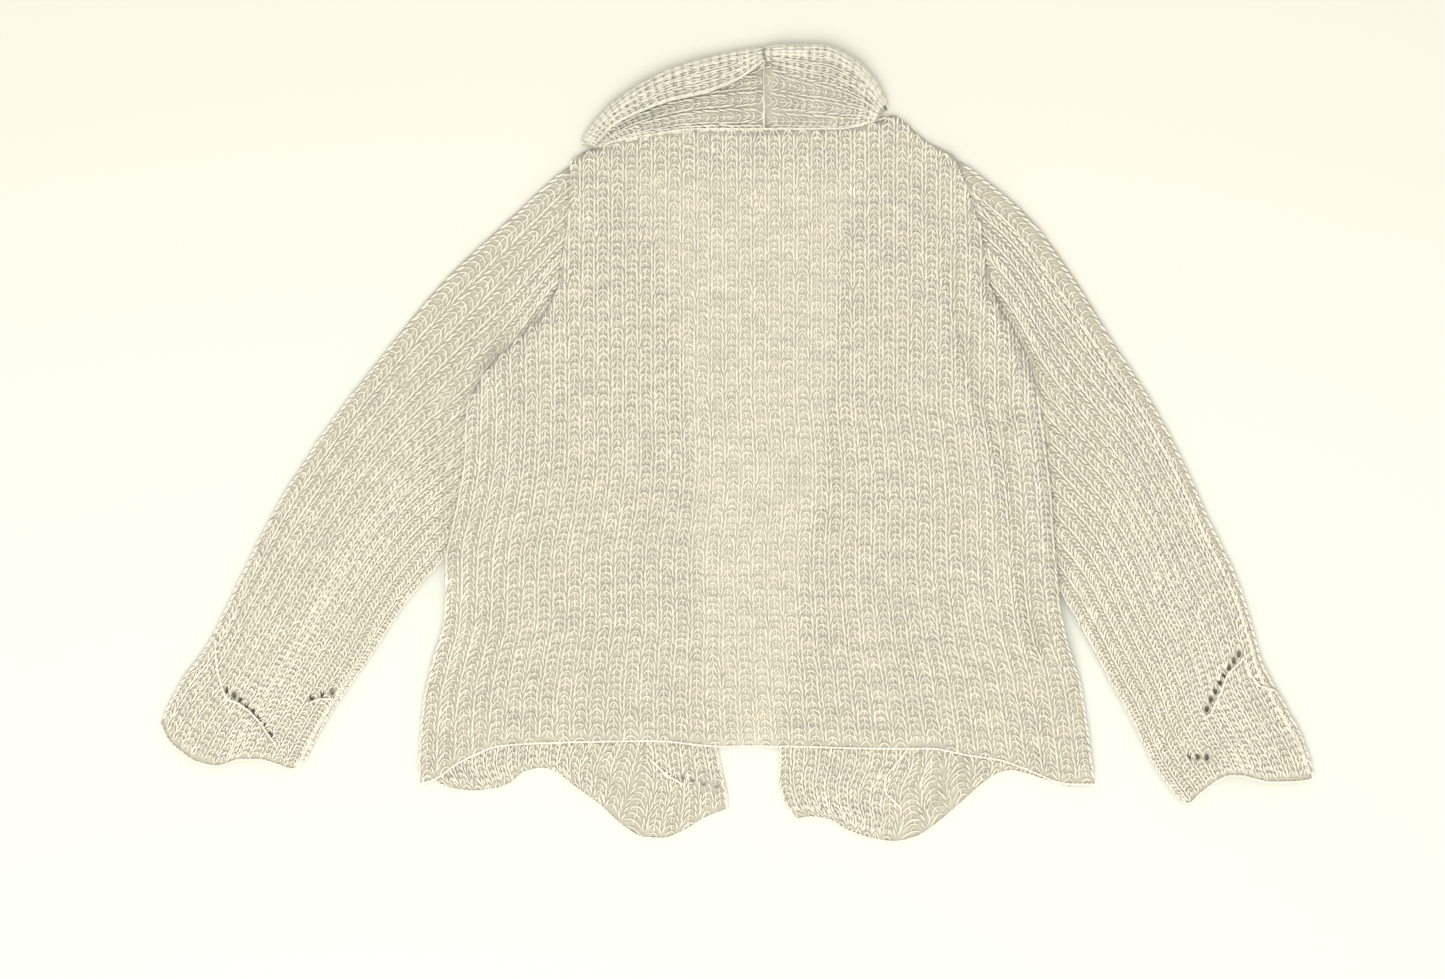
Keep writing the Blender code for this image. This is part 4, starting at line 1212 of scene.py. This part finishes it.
class CARDIGAN_OT_sleeves(bpy.types.Operator):
    """Knits both sleeves, each a seen half over a hidden one"""
    bl_idname = "cardigan.sleeves"
    bl_label = "Sleeves"

    def execute(self, context):
        sizes = context.scene.cardigan_sizes
        for side, table, flip, flat, area, hidden_area in (
                ("left", SLEEVE_LEFT, -1.0, (0.173, 0.649), 0.081, 0.073),
                ("right", SLEEVE_RIGHT, 1.0, (0.171, 0.661), 0.078, 0.069)):
            name = f"sleeve_{side}_back"
            cloth = Cloth(name, sleeve_face(tube_face(table), name), SLEEVE_COLUMNS, SLEEVE_LENGTH,
                          SLEEVE_WIDTH, sizes.course, apex=-1.0, flip=flip, holes=EYELETS[name])
            dress(context, cloth, name,
                  (("cuff", border("top", 170)),), sizes.halo // SLEEVE_HALO)
            name = f"sleeve_{side}_front"
            hidden = Cloth(name, front_face(tube_face(table, FRONT_HALF_INSET), name), SLEEVE_COLUMNS,
                           SLEEVE_LENGTH, SLEEVE_WIDTH, sizes.course, apex=-1.0, flip=flip)
            dress(context, hidden, name, (("cuff", border("top", 170)),),
                  stitched=False)
        return {"FINISHED"}


class CARDIGAN_OT_collar(bpy.types.Operator):
    """Knits both halves of the shawl collar"""
    bl_idname = "cardigan.collar"
    bl_label = "Shawl collar"

    def execute(self, context):
        sizes = context.scene.cardigan_sizes
        for name, table, section, side, length, flat, area in (
                ("collar_left", COLLAR_LEFT, folded_section, 1.0, COLLAR_LEFT_LENGTH,
                 (0.108, 0.199), 0.0152),
                ("collar_right", COLLAR_RIGHT, rolled_section, -1.0, COLLAR_RIGHT_LENGTH,
                 (0.089, 0.142), 0.009)):
            face = collar_face(table, section, side, name)
            cloth = Cloth(name, face, COLLAR_ROWS, length, COLLAR_WIDTH, sizes.course, flip=side)
            edges = (("free_edge", border("right", 240)),)
            inner = None
            if section is folded_section:
                stand = collar_face(table, section, -side, name, STAND_RISE)
                inner = Cloth("collar_stand", stand, COLLAR_ROWS, length, COLLAR_WIDTH, sizes.course,
                              flip=-side, across=(0.0, STAND_SHARE))
            # The collar's yarn is darkened as painted shade of its folds
            dress(context, cloth, name, edges, sizes.halo // COLLAR_HALO, inner=inner,
                  collar_painted_shade=True)
        return {"FINISHED"}


class CARDIGAN_OT_stage(bpy.types.Operator):
    """Sets the floor, the soft lights and the camera straight above"""
    bl_idname = "cardigan.stage"
    bl_label = "Stage"

    def execute(self, context):
        stage = context.scene.cardigan_stage
        bpy.ops.mesh.primitive_plane_add(size=FLOOR_SIZE, location=(0.0, 0.0, -FLOOR_UNDER))
        floor = context.object
        floor.name = "floor"
        paper = bpy.data.materials.new("floor")
        paper.use_nodes = True
        tree = paper.node_tree
        # Painted shade: the floor's colour fades to a darker, warmer one past the neck, away from the key
        # light
        place = add_node(tree, "ShaderNodeTexCoord", {}).outputs["Object"]
        parts = add_node(tree, "ShaderNodeSeparateXYZ", {0: place})
        fade = add_node(tree, "ShaderNodeMapRange",
                        {"Value": parts.outputs["Y"], "From Min": FLOOR_PAINTED_SHADE_RANGE[0], "From Max": FLOOR_PAINTED_SHADE_RANGE[1]},
                        interpolation_type="SMOOTHSTEP")
        tint = add_node(tree, "ShaderNodeMix", {}, data_type="RGBA")
        tint.inputs["A"].default_value = (*stage.floor, 1.0)
        tint.inputs["B"].default_value = (*stage.floor_far_painted_shade, 1.0)
        tree.links.new(fade.outputs["Result"], tint.inputs["Factor"])
        shader = tree.nodes["Principled BSDF"]
        tree.links.new(tint.outputs["Result"], shader.inputs["Base Color"])
        shader.inputs["Roughness"].default_value = 1.0
        shader.inputs["Specular IOR Level"].default_value = 0.0
        floor.data.materials.append(paper)
        world = bpy.data.worlds.new("studio")
        world.use_nodes = True
        sky = world.node_tree.nodes["Background"]
        sky.inputs["Color"].default_value = SKY_COLOUR
        sky.inputs["Strength"].default_value = stage.sky
        context.scene.world = world
        for name, size, place in LAMPS:
            lamp = bpy.data.lights.new(name, "AREA")
            lamp.energy = getattr(stage, name)
            lamp.size = size
            lamp.color = LAMP_COLOUR
            light = bpy.data.objects.new(name, lamp)
            light.location = place
            light.rotation_mode = "QUATERNION"
            light.rotation_quaternion = light.location.to_track_quat("Z", "Y")
            context.scene.collection.objects.link(light)
        lens = bpy.data.cameras.new("camera")
        lens.lens = stage.lens
        lens.sensor_width = SENSOR
        camera = bpy.data.objects.new("camera", lens)
        camera.location = (stage.aside, stage.down, stage.height)
        context.scene.collection.objects.link(camera)
        context.scene.camera = camera
        context.scene.view_settings.view_transform = "Standard"
        return {"FINISHED"}


class CARDIGAN_PT_panel(bpy.types.Panel):
    """Lists the pieces and their settings"""
    bl_idname = "CARDIGAN_PT_panel"
    bl_label = "Cardigan"
    bl_space_type = "VIEW_3D"
    bl_region_type = "UI"
    bl_category = "Cardigan"

    def draw(self, context):
        layout = self.layout
        for operator in OPERATORS:
            layout.operator(operator.bl_idname)
        for key, _ in SETTINGS:
            group = getattr(context.scene, key)
            box = layout.box()
            for name in group.__annotations__:
                box.prop(group, name)


OPERATORS = (CARDIGAN_OT_fronts, CARDIGAN_OT_sleeves, CARDIGAN_OT_back, CARDIGAN_OT_collar,
             CARDIGAN_OT_stage)
SETTINGS = (("cardigan_sizes", CardiganSizes), ("cardigan_colours", CardiganColours),
            ("cardigan_stage", CardiganStage))


def register():
    """Registers the settings, the operators and the panel."""
    for name, group in SETTINGS:
        bpy.utils.register_class(group)
        setattr(bpy.types.Scene, name, PointerProperty(type=group))
    for operator in OPERATORS:
        bpy.utils.register_class(operator)
    bpy.utils.register_class(CARDIGAN_PT_panel)


def unregister():
    """Takes away what register adds, in the other order."""
    bpy.utils.unregister_class(CARDIGAN_PT_panel)
    for operator in reversed(OPERATORS):
        bpy.utils.unregister_class(operator)
    for name, group in reversed(SETTINGS):
        delattr(bpy.types.Scene, name)
        bpy.utils.unregister_class(group)


def main():
    """Runs the operators in order."""
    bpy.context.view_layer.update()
    register()
    bpy.ops.cardigan.fronts()
    bpy.ops.cardigan.sleeves()
    bpy.ops.cardigan.back()
    bpy.ops.cardigan.collar()
    bpy.ops.cardigan.stage()


if __name__ == "__main__":
    main()
